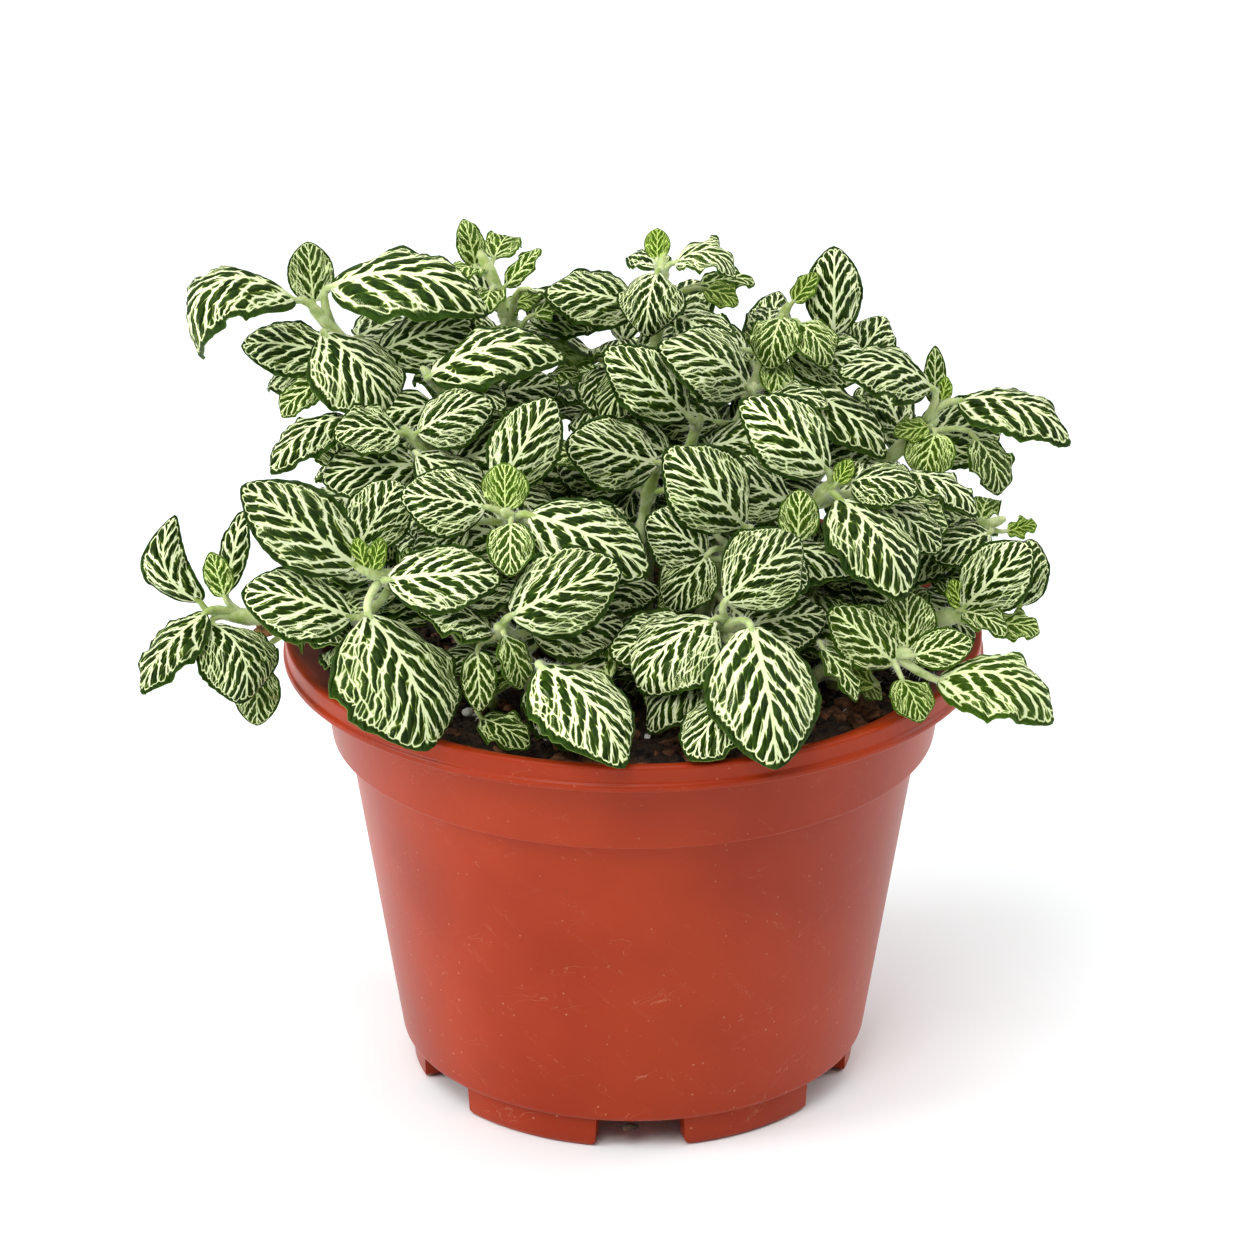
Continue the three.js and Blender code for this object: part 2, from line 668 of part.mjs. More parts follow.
// The shape of a blade: t runs from its base to its tip, v from its left margin to its right.
class Blade {
  constructor(leaf) {
    const reach = leaf.tip.clone().sub(leaf.base);
    this.leaf = leaf;
    this.length = reach.length();
    this.along = reach.normalize();
    const lean = leaf.lean * DEGREE;
    const face = leaf.front.clone().multiplyScalar(Math.sin(lean));
    face.addScaledVector(UP, Math.cos(lean));
    face.addScaledVector(this.along, -face.dot(this.along));
    this.up = face.normalize();
    this.side = this.along.clone().cross(this.up);
    this.cup = this.length < YOUNG_LENGTH ? YOUNG_CUP : CUP;
  }

  halfWidth(t) {
    const widest = BASE_POWER / (BASE_POWER + TIP_POWER);
    const shape = (x) => x ** BASE_POWER * (1 - x) ** TIP_POWER;
    return ((this.leaf.width / 2) * shape(t)) / shape(widest);
  }

  normal(t) {
    const slope = 4 * this.leaf.arch * (1 - 2 * t);
    const normal = this.up.clone().multiplyScalar(this.length);
    return normal.addScaledVector(this.along, -slope).normalize();
  }

  midrib(t) {
    const bulge = 4 * t * (1 - t);
    const point = this.leaf.base.clone().addScaledVector(this.along, this.length * t);
    point.addScaledVector(this.up, this.leaf.arch * bulge);
    return point.addScaledVector(this.side, this.leaf.bow * bulge);
  }

  point(t, v) {
    const half = this.halfWidth(t);
    const wave = Math.sin(2 * Math.PI * RIPPLE_WAVES * t + this.leaf.phase + 2 * v);
    const lift = v * v * (this.cup * half + (RIPPLE * wave * half * 2) / this.leaf.width);
    const point = this.midrib(t).addScaledVector(this.side, half * v);
    return point.addScaledVector(this.normal(t), lift);
  }

  // The top points and then the bottom points of the blade at a station.
  section(t, thickness) {
    const line = this.leaf.columns.map((v) => this.point(t, v));
    return thickened(line, this.normal(t).multiplyScalar(thickness / 2));
  }

  // The left, right and lower point of the stalk, which is three-sided.
  stalkSection(centre, along) {
    const side = along.clone().cross(this.up);
    const across = side.lengthSq() > 1e-4 ? side.normalize() : this.side;
    const up = across.clone().cross(along);
    const top = centre.clone().addScaledVector(up, STALK_THICKNESS / 2);
    return [
      top.clone().addScaledVector(across, -STALK_HALF_WIDTH),
      top.clone().addScaledVector(across, STALK_HALF_WIDTH),
      centre.clone().addScaledVector(up, -STALK_THICKNESS),
    ];
  }
}

function thickened(line, shift) {
  return [...line.map((p) => p.clone().add(shift)), ...line.map((p) => p.clone().sub(shift))];
}

// The leaf as a solid: its stalk, its blade in flat facets, and its tip. Both faces are split
// into triangles alike, so that they stay a blade's thickness apart.
function leafSolid(leaf, extra = 0) {
  const blade = new Blade(leaf);
  const thickness = BLADE_THICKNESS + 2 * extra;
  const reach = leaf.base.clone().sub(leaf.root);
  const stalk = reach.clone().normalize();
  const turn = stalk.clone().add(blade.along).normalize();
  const points = blade.stalkSection(leaf.root, stalk);
  const triangles = [[0, 2, 1]];
  if (reach.length() > LONG_STALK) {
    points.push(...blade.stalkSection(leaf.base, turn));
    triangles.push([0, 1, 4], [0, 4, 3], [1, 2, 5], [1, 5, 4], [2, 0, 3], [2, 3, 5]);
  }
  const across = leaf.columns.length;
  const strips = leaf.columns.slice(1).map((_, j) => j);
  const last = across - 1;
  const [left, right, lower] = [points.length - 3, points.length - 2, points.length - 1];
  const start = points.length;
  points.push(...leaf.stations.flatMap((t) => blade.section(t, thickness)));
  triangles.push([left, right, start + 1], [left, start + 1, start]);
  if (across > 2) triangles.push([right, start + 2, start + 1]);
  triangles.push([right, start + last + across, start + last], [left, start, start + across]);
  triangles.push([right, lower, start + last + across], [left, start + across, lower]);
  for (const j of strips) {
    triangles.push([lower, start + across + j, start + across + j + 1]);
  }
  for (let k = 0; k + 1 < leaf.stations.length; k++) {
    const a = start + 2 * across * k;
    const b = a + 2 * across;
    for (const j of strips) {
      const under = j + across;
      triangles.push([a + j, a + j + 1, b + j + 1], [a + j, b + j + 1, b + j]);
      triangles.push([a + under, b + under + 1, a + under + 1], [a + under, b + under, b + under + 1]);
    }
    triangles.push([a + last, a + last + across, b + last + across]);
    triangles.push([a + last, b + last + across, b + last]);
    triangles.push([a, b, b + across], [a, b + across, a + across]);
  }
  const end = points.length - 2 * across;
  const lift = blade.normal(1).multiplyScalar(thickness / 2);
  const tipTop = points.push(leaf.tip.clone().add(lift)) - 1;
  const tipBottom = points.push(leaf.tip.clone().sub(lift)) - 1;
  for (const j of strips) {
    triangles.push([end + j, end + j + 1, tipTop]);
    triangles.push([end + j + across, tipBottom, end + j + across + 1]);
  }
  triangles.push([end + last, end + last + across, tipBottom], [end + last, tipBottom, tipTop]);
  triangles.push([end, tipTop, tipBottom], [end, tipBottom, end + across]);
  return solidOf(geometryFrom(points, triangles));
}

function stationsFor(length) {
  if (length < YOUNG_LENGTH) return YOUNG_STATIONS;
  return length < LONG_LENGTH ? MIDDLE_STATIONS : LONG_STATIONS;
}

// The leaves of the stems at the front, from their rows.
function listedLeaves(stem, line, draws) {
  return stem.leaves.map(([baseRow, tipRow, width, arch, bow, lean], order) => {
    const base = vector(baseRow);
    const tip = vector(tipRow);
    const stations = stationsFor(base.distanceTo(tip));
    const root = stalkRoot(line, base, order);
    const phase = draws.between(0, 2 * Math.PI);
    const shape = { base, tip, width, arch, bow, lean, root, phase, front: FRONT };
    return { ...shape, stations, columns: width > FOLDED_WIDTH ? FOLDED : FLAT };
  });
}

// A pair of opposite leaves on a stem.
function leafPair(line, { along, length, rise }, bearing, lean, front, draws) {
  return [0, 180].map((turn) => {
    const angle = (bearing + turn + draws.between(-12, 12)) * DEGREE;
    const raise = (rise + draws.between(-8, 8)) * DEGREE;
    const size = length * draws.between(0.88, 1.12);
    const direction = new THREE.Vector3(
      Math.cos(raise) * Math.cos(angle),
      Math.cos(raise) * Math.sin(angle),
      Math.sin(raise),
    );
    const root = line.getPoint(along * (1 - 0.02));
    const base = line.getPoint(along).addScaledVector(direction, PAIR_STALK);
    const tip = base.clone().addScaledVector(direction, size);
    const width = size * PAIR_WIDTH_SHARE * draws.between(0.9, 1.15);
    const arch = size * PAIR_ARCH_SHARE;
    const phase = draws.between(0, 2 * Math.PI);
    const shape = { base, tip, width, arch, bow: 0, lean, root, phase, front };
    const stations = length > LONG_LENGTH ? MIDDLE_STATIONS : YOUNG_STATIONS;
    return { ...shape, stations, columns: FLAT };
  });
}

// The stems of the back half, on their arcs.
function backStems(draws) {
  const stems = [];
  for (const { radius, height, first, last, count } of BACK_ROWS) {
    for (let i = 0; i < count; i++) {
      const angle = THREE.MathUtils.lerp(first, last, i / Math.max(count - 1, 1)) * DEGREE;
      const reach = radius + draws.between(-BACK_JITTER, BACK_JITTER);
      const x = reach * Math.cos(angle);
      const y = reach * Math.sin(angle);
      const z = height + draws.between(-BACK_JITTER, BACK_JITTER);
      stems.push({ foot: [x * BACK_FOOT_SHARE, y * BACK_FOOT_SHARE], crown: [x, y, z] });
    }
  }
  return stems;
}

function backLeaves(stem, line, draws) {
  const [x, y] = stem.crown;
  const outward = new THREE.Vector3(x, y, 0).normalize();
  let bearing = Math.atan2(y, x) / DEGREE + 90 + draws.between(-20, 20);
  return BACK_PAIRS.flatMap((pair) => {
    bearing += 90;
    return leafPair(line, pair, bearing, BACK_LEAN, outward, draws);
  });
}

function innerLeaf(line, draws) {
  const bearing = INNER_BEARING + draws.between(-INNER_SPREAD, INNER_SPREAD);
  return leafPair(line, INNER_LEAF, bearing, 0, FRONT, draws)[0];
}

function fillingLeaves(line, draws) {
  const bearing = FILLING_BEARING + draws.between(-FILLING_SPREAD, FILLING_SPREAD);
  return leafPair(line, FILLING_PAIR, bearing, FILLING_LEAN, FRONT, draws);
}

// Solids placed so far, each with its box, so that only near ones are compared.
class Placed {
  constructor() {
    this.items = [];
  }

  add(owner, solid, isLeaf = false) {
    this.items.push({ owner, solid, isLeaf, box: solid.boundingBox() });
  }

  // True where a solid meets any solid of another owner.
  meets(owner, solid) {
    const box = solid.boundingBox();
    return this.items.some(
      (item) => item.owner !== owner && boxesMeet(item.box, box) && common(item.solid, solid) > 0,
    );
  }

  // True where a solid cuts through a leaf of its own stem.
  crosses(owner, solid) {
    const box = solid.boundingBox();
    return this.items.some(
      (item) =>
        item.isLeaf &&
        item.owner === owner &&
        boxesMeet(item.box, box) &&
        common(item.solid, solid) > SIBLING_CROSSING,
    );
  }
}

function boxesMeet(a, b) {
  return [0, 1, 2].every((i) => a.min[i] <= b.max[i] && b.min[i] <= a.max[i]);
}

function common(a, b) {
  const shared = a.intersect(b);
  const volume = shared.volume();
  shared.delete();
  return volume;
}

// Each leaf in turn takes the first of its moves that is clear of what is placed. A leaf that
// shows from the front is placed before the leaves behind it. One that finds no room is left out.
function placeLeaves(plants, placed) {
  const batches = [
    { list: (plant) => plant.listed, moves: SMALL_MOVES, own: false },
    { list: (plant) => plant.ruled, moves: WIDE_MOVES, own: true },
  ];
  for (const { list, moves, own } of batches) {
    for (const plant of plants) {
      for (const leaf of list(plant)) {
        for (const move of moves) {
          const moved = movedLeaf(leaf, move);
          const thick = leafSolid(moved, LEAF_GAP);
          const solid = leafSolid(moved);
          const blocked = placed.meets(plant.name, thick);
          thick.delete();
          if (!blocked && !(own && placed.crosses(plant.name, solid))) {
            placed.add(plant.name, solid, true);
            plant.solids.push(solid);
            break;
          }
        }
      }
    }
  }
}

// The stem and its leaves as one solid, with the small hollows that they seal between them filled.
function grownTogether(solids) {
  const shells = wasm.Manifold.union(solids).decompose();
  return wasm.Manifold.union(shells.filter((shell) => shell.volume() > 0));
}

function makePlants(draws) {
  const front = FRONT_STEMS.map((stem) => {
    const line = stemLine(stem);
    return { stem, line, listed: listedLeaves(stem, line, draws), ruled: [] };
  });
  for (const plant of front.filter(({ stem }) => stem.crown[1] < 0)) {
    plant.ruled = [innerLeaf(plant.line, draws)];
  }
  const back = backStems(draws).map((stem) => {
    const line = stemLine(stem);
    return { stem, line, listed: [], ruled: backLeaves(stem, line, draws) };
  });
  for (const plant of front.filter(({ stem }) => Math.hypot(...stem.crown.slice(0, 2)) < FILLING_REACH)) {
    plant.ruled.unshift(...fillingLeaves(plant.line, draws));
  }
  return [...front, ...back].map((plant, i) => ({
    ...plant,
    name: "leafy_stem_" + String(i + 1).padStart(2, "0"),
    solids: [makeStem(plant.stem)],
  }));
}

function build() {
  const draws = new Draws(7);
  const plants = makePlants(draws);
  const pot = makePot();
  const soil = makeSoil(plants.map(({ stem }) => stem.foot));
  const placed = new Placed();
  placed.add("pot", pot);
  placed.add("soil", soil);
  for (const plant of plants) {
    placed.add(plant.name, plant.solids[0]);
  }
  placeLeaves(plants, placed);

  const object = new THREE.Group();
  object.add(meshOf("pot", pot, MATERIALS.pot));
  object.add(meshOf("soil", soil, MATERIALS.soil));
  for (const { name, solids } of plants) {
    object.add(meshOf(name, grownTogether(solids), MATERIALS.leafy_stem.clone()));
  }
  const middle = new THREE.Box3().setFromObject(object).getCenter(new THREE.Vector3());
  object.position.set(-middle.x, -middle.y, 0);
  const whole = new THREE.Group();
  whole.add(object);
  return whole;
}

export default build();
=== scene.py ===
"""A potted nerve plant: white-veined leaves over dark peat in a terracotta-coloured nursery pot.

The plant is laid out in millimetres from the pot's axis. Every finished piece is in metres, in the
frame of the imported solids, which it stands for or is fitted to.
"""

import functools
import logging
import math
from dataclasses import dataclass, field, replace
from enum import Enum

import bmesh
import bpy
import numpy as np
from bpy.types import Material, Mesh, Node, NodeTree, Object
from mathutils import Euler, Matrix, Vector, noise

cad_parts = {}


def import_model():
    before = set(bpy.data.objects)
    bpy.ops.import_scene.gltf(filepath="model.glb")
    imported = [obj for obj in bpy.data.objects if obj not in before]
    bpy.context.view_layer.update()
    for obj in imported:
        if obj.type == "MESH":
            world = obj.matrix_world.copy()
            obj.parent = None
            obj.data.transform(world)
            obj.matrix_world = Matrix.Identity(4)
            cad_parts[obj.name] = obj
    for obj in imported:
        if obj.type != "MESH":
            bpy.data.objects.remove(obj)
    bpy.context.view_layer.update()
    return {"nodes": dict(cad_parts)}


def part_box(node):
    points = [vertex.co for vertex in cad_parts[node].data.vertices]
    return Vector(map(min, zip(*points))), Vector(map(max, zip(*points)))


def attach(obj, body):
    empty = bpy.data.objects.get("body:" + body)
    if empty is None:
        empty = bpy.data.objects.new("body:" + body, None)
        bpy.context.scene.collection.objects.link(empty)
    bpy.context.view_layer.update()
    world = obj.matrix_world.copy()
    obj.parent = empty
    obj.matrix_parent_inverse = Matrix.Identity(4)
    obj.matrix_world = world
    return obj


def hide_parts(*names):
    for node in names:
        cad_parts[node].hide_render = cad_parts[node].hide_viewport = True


Array = np.ndarray
Socket = bpy.types.NodeSocket
Value = Socket | float
LOG = logging.getLogger("nerve_plant")
MM = 0.001
UP = np.array([0.0, 0.0, 1.0])
FRONT = np.array([0.0, -1.0, 0.0])
BODY = "root"
FULL_TURN = 6.28

# Soil
SOIL_LEVEL = 74.4
SOIL_CROWN = 2.2
SOIL_BUMP = 0.9
SOIL_WAVES = ((0.31, 0.9), (0.27, -0.4))
SOIL_EDGE_RADIUS = 52.2

# Stems, as in the solids
STEM_ROOT_RADIUS = 1.5
ROOT_DEPTH = 9
STEM_START = 1
BEND_REACH = 0.25
BEND_RISE = 0.7

# Leaves, as in the solids
BLADE_THICKNESS = 0.8
BASE_POWER = 0.5
TIP_POWER = 0.62
CUP = -0.16
YOUNG_CUP = 0.15
YOUNG_LENGTH = 12
RIPPLE = 0.7
RIPPLE_WAVES = 2.5
LONG_LENGTH = 21
LONG_STATIONS = (0.13, 0.38, 0.64, 0.86)
MIDDLE_STATIONS = (0.15, 0.45, 0.78)
YOUNG_STATIONS = (0.22, 0.6)
FOLDED = (-1, 0, 1)
FLAT = (-1, 1)
FOLDED_WIDTH = 5.5
NEAREST_STEPS = 40
STALK_SETBACK = 0.06
STALK_STEP = 0.011
STALK_LOWEST = 0.1

# A leaf is its blade's base, its tip, its width, the rise of its arched midrib, how far its face leans
# to the front, in degrees, and, on a bowed leaf, how far the midrib bows to its right. A stem has its
# place in the soil, its crown, and its leaves.
FRONT_STEMS = (
    # top left
    ((-28, 5), (-54, 8, 135), (
        ((-57, 7, 137), (-78, -2, 131), 14, 10, 20),
        ((-54, 9, 136), (-55, 12, 146), 8, 0, 50),
        ((-51, 8, 139), (-23, 2, 138), 15, 6, 35),
        ((-52, 4, 132), (-40, -8, 121), 17, 3, 15),
        ((-52, 4, 124), (-60, 0, 119), 6, 1, 30),
        ((-48, -6, 121), (-60.5, -16, 115), 9, 3, 20),
    )),
    # below it, facing the front
    ((-20, -8), (-38, -10, 120), (
        ((-39, -11, 120), (-51, -14, 120), 10, 2, 45),
        ((-36, -11, 120), (-23, -12, 126), 11, 2, 45),
        ((-36, -13, 117), (-24, -20, 112), 10, 1, 30),
    )),
    # top, left of the middle
    ((-12, 12), (-26, 22, 140), (
        ((-27, 22, 138), (-29, 24, 146), 5, 1, 40),
        ((-22, 20, 135), (-16, 20, 142), 4, 0, 40),
        ((-22, 20, 132), (-16, 17, 134), 5, 0, 30),
        ((-18, 16, 136), (-5, 12, 134), 8, 1, -18),
        ((-17, 14, 132), (-9, 12, 135), 5, 1, 30),
    )),
    # behind the second, one arched leaf
    ((-17, 2), (-35, 0, 127), (
        ((-34, -3, 127), (-11, -6, 131), 12, 5.5, 35),
    )),
    # middle left, round a bud
    ((-11, -19), (-21, -32, 114), (
        ((-21, -31, 114), (-21, -30, 122), 8, 0, 70),
        ((-24, -32, 115), (-38, -34, 118), 12, 1.5, 55),
        ((-17, -33, 114), (3, -38, 106), 15, 3, 45),
        ((-20, -34, 113), (-20, -42, 107), 8, 1, 20),
        ((-22, -26, 116), (-13, -20, 130), 12, 2, 65),
        ((-27, -30, 111), (-37, -30, 105), 8, 1, 50),
    )),
    # centre
    ((-1, -8), (4, -10, 114), (
        ((4, -12, 115), (-11, -18, 121), 13, 1, 60),
        ((-6, -8, 114), (-16, -10, 116), 6, 1, 30),
    )),
    # top middle
    ((2, 7), (5, 10, 143), (
        ((4, 11, 143), (4, 13, 148), 4.5, 0, 50),
        ((4, 7, 142), (2, -1, 133), 12, 3, 10),
        ((7, 9, 143), (18, 6, 142), 9, 3.5, 20),
        ((11, 12, 138), (21, 12, 139), 5, 1, 30),
        ((12, 10, 138), (18, 8, 136), 5, 1, 40),
    )),
    # right of the middle, arched to the left
    ((12, 1), (20, 0, 124), (
        ((19, -3, 125), (4, -8, 135), 14, 5, 50),
    )),
    # middle, standing up to the left
    ((5, -2), (11, -5, 120), (
        ((9, -8, 122), (-5, -8, 134), 12, 3, 60),
    )),
    # top right
    ((14, 9), (26, 12, 134), (
        ((25, 10, 133), (23, 3, 126), 9, 2, 10),
        ((28, 10, 132), (33, 4, 126), 8, 2, 20),
        ((27, 12, 135), (31, 13, 140), 4, 0, 40),
        ((34, 12, 129), (34, 16, 144), 10, 1, 60),
        ((27, 2, 123), (43, -8, 115), 10, 3, 30),
    )),
    # far right, high
    ((28, 3), (51, 5, 116), (
        ((51, 5, 119), (51, 7, 129), 4, 0, 70),
        ((52, 5, 119), (53, 5, 124), 3, 0, 60),
        ((55, 4, 120), (74, -4, 116), 12, 4, 20),
        ((50, 3, 123), (34, -2, 128), 12, 4, 35),
        ((50, 3, 116), (44, 0, 116), 5, 0, 40),
        ((58, 2, 114), (62, -4, 106), 8, 2, 10),
        ((51, 2, 115), (49, -4, 109), 9, 1, 10),
        ((46, -6, 111), (58, -14, 107), 8, 2, 10),
    )),
    # far right, behind the rim leaves
    ((35, -4), (62, -5, 102), (
        ((60, -8, 101), (50, -16, 100), 9, 1, 50),
        ((63, -5, 100), (68, -6, 102), 4, 0, 30),
    )),
    # middle right, three large leaves
    ((18, -11), (34, -18, 114), (
        ((32, -18, 116), (17, -18, 129), 13, 5, 60),
        ((36, -18, 114), (47, -24, 115), 10, 2, 35),
        ((34, -21, 112), (45, -38, 102), 15, 3, 10),
        ((33.5, -19, 114), (36, -18, 118), 3.5, 0, 60),
        ((43, -14, 108), (52, -20, 106), 9, 1, 30),
        ((41, -17, 110), (51, -24, 104), 9, 1.5, 35),
    )),
    # middle, below the arched leaf
    ((10, -15), (19, -24, 108), (
        ((18, -25, 109), (5, -25, 123), 15, 4, 60),
        ((27, -25, 106), (28, -20, 118), 10, 1, 70),
        ((12, -26, 104), (2, -28, 112), 12, 2, 55),
        ((12, -27, 104.5), (5.5, -33, 97), 10, 1, 50),
    )),
    # the runner over the rim on the left
    ((-38, -15), (-69, -22, 92), (
        ((-72, -22, 94), (-76, -20, 109), 8, 1, 50, -4),
        ((-71, -24, 93), (-82, -34, 83), 9, 2, 20),
        ((-68, -22, 95), (-70, -22, 103), 5, 0, 60),
        ((-68, -20, 95), (-65, -14, 108), 5, 1, 50),
        ((-70, -24, 91), (-64, -34, 81), 14, 2, 15, -2),
        ((-63, -20, 82), (-63, -26, 73), 8, 1, 10),
    )),
    # front left, its large leaf at the rim
    ((-24, -23), (-43, -38, 106), (
        ((-45, -38, 107), (-64, -34, 120), 14, 3, 60),
        ((-40, -39, 105), (-21, -42, 107), 12, 2, 50),
        ((-43, -42, 100), (-32, -57, 83), 23, 3, 0),
        ((-46, -38, 98), (-64, -40, 104), 13, 2, 45),
        ((-43.5, -38, 106), (-45, -38, 112), 3.5, 0, 60),
        ((-42.5, -38, 106), (-41, -38, 112), 3.5, 0, 60),
        ((-45, -32, 108), (-38, -26, 118), 11, 1, 65),
    )),
    # front, left of the middle
    ((-16, -28), (-22, -42, 98), (
        ((-20, -42, 100), (-3, -42, 111), 15, 2, 60),
        ((-21, -43, 97), (-18, -45, 88), 6, 1, 10),
        ((-25.5, -40, 93), (-25, -45, 84), 6, 1, 20),
        ((-25, -40, 81), (-17, -47, 79), 7, 1, 30),
    )),
    # front middle, down to the rim
    ((-6, -30), (-15, -43, 91), (
        ((-15, -47, 93), (-1, -63, 83), 17, 4, 15),
        ((-4, -40, 88), (-7, -36, 95), 5, 0, 60),
    )),
    # front, right of the middle, four large leaves
    ((10, -27), (16, -38, 97), (
        ((15, -38, 101), (28, -34, 111), 15, 4, 60),
        ((13, -39, 98), (0, -48, 89), 17, 4, 25),
        ((19, -42, 98), (23, -62, 82), 19, 3, 0),
        ((13, -38, 92), (2, -48, 82), 13, 2, 10),
        ((17, -47, 89), (9, -60, 83), 12, 1, 10),
    )),
    # front right, bright in its middle
    ((27, -22), (45, -34, 90), (
        ((45, -33, 90), (45, -28, 99), 10, 1, 60),
        ((43, -33, 90), (37, -32, 98), 7, 1, 60),
        ((46, -35, 90), (56, -36, 93), 7, 1, 60),
        ((50, -36, 86), (70, -44, 83), 14, 6, 30),
        ((44, -38, 87), (47, -44, 82), 7.5, 1, 10),
        ((43, -34, 88), (32, -34, 98), 10, 2, 60),
        ((40, -31, 83), (34, -31, 86), 5, 0, 40),
        ((31, -34, 91), (37, -40, 84), 5, 1, 10),
    )),
    # right, low, at the rim
    ((34, -14), (55, -20, 91), (
        ((55, -20, 92), (66, -20, 104), 12, 2, 60),
        ((65, -14, 90), (67, -10, 101), 8, 1, 60),
        ((60, -20, 89), (68, -22, 89), 6, 1, 30),
        ((55, -20, 92), (53, -19, 97), 4, 0, 60),
        ((55, -21, 92), (62, -28, 91), 6, 1, 20),
    )),
)

# The stems of the back half: rows of crowns on arcs round the pot's axis, each arc with its
# radius, its height, its first and last bearing and its count.
BACK_ROWS = ((21, 121, 97, 97, 1), (36, 116, 22, 158, 5), (51, 100, 19, 159, 7))
BACK_FOOT_SHARE = 0.58
BACK_JITTER = 2.5
BACK_LEAN = 35
BACK_TURN = 20

# Pairs of leaves: how far up the stem, leaf length and rise.
BACK_PAIRS = ((1, 13, 34), (0.97, 22, 12), (0.8, 21, -8))

# The leaf inside the front half, behind the ones that show, on stems with their crown in front of
# the pot's axis.
INNER_LEAF = (0.55, 18, 0)
INNER_BEARING = 95
INNER_SPREAD = 55

# The pair between the leaves that show, which faces the front, on stems whose crown is near enough
# to the pot's axis.
FILLING_PAIR = (0.8, 16, 5)
FILLING_BEARING = -10
FILLING_SPREAD = 40
FILLING_LEAN = 50
FILLING_REACH = 60

# The form of a leaf of any pair, as shares of its length, its stalk, and how far its bearing, rise,
# size and width may be from the pair's own.
PAIR_WIDTH_SHARE = 0.66
PAIR_ARCH_SHARE = 0.12
PAIR_STALK = 3.5
PAIR_ROOT = 0.98
PAIR_TURN = 12
PAIR_RISE = 8
PAIR_SIZES = (0.88, 1.12)
PAIR_WIDTHS = (0.9, 1.15)

# Small shaded leaves low on each stem, in rounds: how many are tried and their lengths. Then how far
# up the lowest is, how far up and how steep the highest may be in each half, how they droop and
# lean, and how far from the pot's axis they may reach: as its wall does, by heights, and further
# over the rim.
UNDERGROWTH = ((18, (13.0, 19.0)), (14, (7.5, 13.0)))
UNDERGROWTH_START = 0.22
UNDERGROWTH_FRONT = (0.95, 20)
UNDERGROWTH_BACK = (1.0, 36)
UNDERGROWTH_DROOP = -25
UNDERGROWTH_LEAN = 20
WALL_HEIGHTS = (78.0, 81.0, 83.0)
WALL_REACHES = (50.8, 53.5, 56.0)
OVER_RIM_REACH = 67.0

# How a leaf gives way to its neighbours: it turns, rises and shortens.
SMALL_MOVES = (
    (0, 0, 1), (0, 6, 1), (0, -6, 1), (7, 0, 1), (-7, 0, 1), (7, 7, 0.95), (-7, 7, 0.95),
    (7, -7, 0.95), (-7, -7, 0.95), (0, 12, 0.95), (0, -12, 0.95), (13, 0, 0.95), (-13, 0, 0.95),
    (13, 12, 0.9), (-13, 12, 0.9), (13, -12, 0.9), (-13, -12, 0.9), (0, 0, 0.8), (0, 18, 0.9),
    (0, -18, 0.9), (20, 0, 0.85), (-20, 0, 0.85), (0, 10, 0.7), (0, -10, 0.7), (15, 10, 0.65),
    (-15, 10, 0.65), (15, -10, 0.65), (-15, -10, 0.65),
)
WIDE_MOVES = (
    (0, 0, 1), (0, 12, 1), (0, -12, 1), (16, 0, 1), (-16, 0, 1), (30, 0, 0.95), (-30, 0, 0.95),
    (20, 20, 0.9), (-20, 20, 0.9), (20, -16, 0.9), (-20, -16, 0.9), (0, 30, 0.85), (0, -25, 0.85),
    (0, 0, 0.75), (35, 20, 0.75), (-35, 20, 0.75),
)

# The vein pattern, in shares of a leaf's length: how the side veins leave the midrib, how those at
# the base fan out, how long a fork takes to open, and how far the veins swing. A warp is a wave
# across the pattern: its size and its turns up the leaf, across it and by the leaf's own number.
VEIN_SLOPE = 0.95
VEIN_CURVE = 1.2
VEIN_STEEPENING = 1.5
VEIN_STAGGER = 0.22
VEIN_SLANT = 0.6
FAN_VEINS = 2.7
FAN_CORE = 0.04
FORK_LENGTH = 0.09
BRANCH_SWING = 0.05
VEIN_SHIFT = 3.0
VEIN_WARPS = ((0.09, 9.0, 15.0, 6.3), (0.06, 21.0, -13.0, 17.0))

# A side vein and its branches: which one each grows from, where the earliest fork starts, how much
# later it may start, how far it moves to the side in shares of the space between side veins, and
# its width as a share of the first.
BRANCHES = (
    (None, 0.04, 0.08, -0.12, 1.0),
    (None, 0.08, 0.10, 0.29, 0.9),
    (0, 0.14, 0.12, -0.28, 0.9),
)


class Draws:
    """Repeatable draws between 0 and 1, the same as in the solids."""

    def __init__(self, seed: int) -> None:
        """Starts the sequence at its first state."""
        self.state = seed

    def next(self) -> float:
        """The next draw."""
        self.state = (self.state * 1664525 + 1013904223) % 4294967296
        return self.state / 4294967296

    def between(self, low: float, high: float) -> float:
        """The next draw, between two values."""
        return low + (high - low) * self.next()


def unit(vector: Array) -> Array:
    """The vector at length 1."""
    return vector / np.linalg.norm(vector)


def direction(bearing: float, rise: float) -> Array:
    """The unit vector of a bearing from +X and a rise, both in radians."""
    level = math.cos(rise)
    return np.array([level * math.cos(bearing), level * math.sin(bearing), math.sin(rise)])


def soil_top(x: float, y: float) -> float:
    """The height of the soil's top at a place, in millimetres.

    Args:
        x: Distance to the right of the pot's axis.
        y: Distance behind it.

    Returns:
        The height.
    """
    fall = (x * x + y * y) / (SOIL_EDGE_RADIUS * SOIL_EDGE_RADIUS)
    (across, start_x), (along, start_y) = SOIL_WAVES
    lumps = np.sin(across * x + start_x) * np.cos(along * y + start_y)
    return SOIL_LEVEL + SOIL_CROWN * (1 - fall) + SOIL_BUMP * lumps


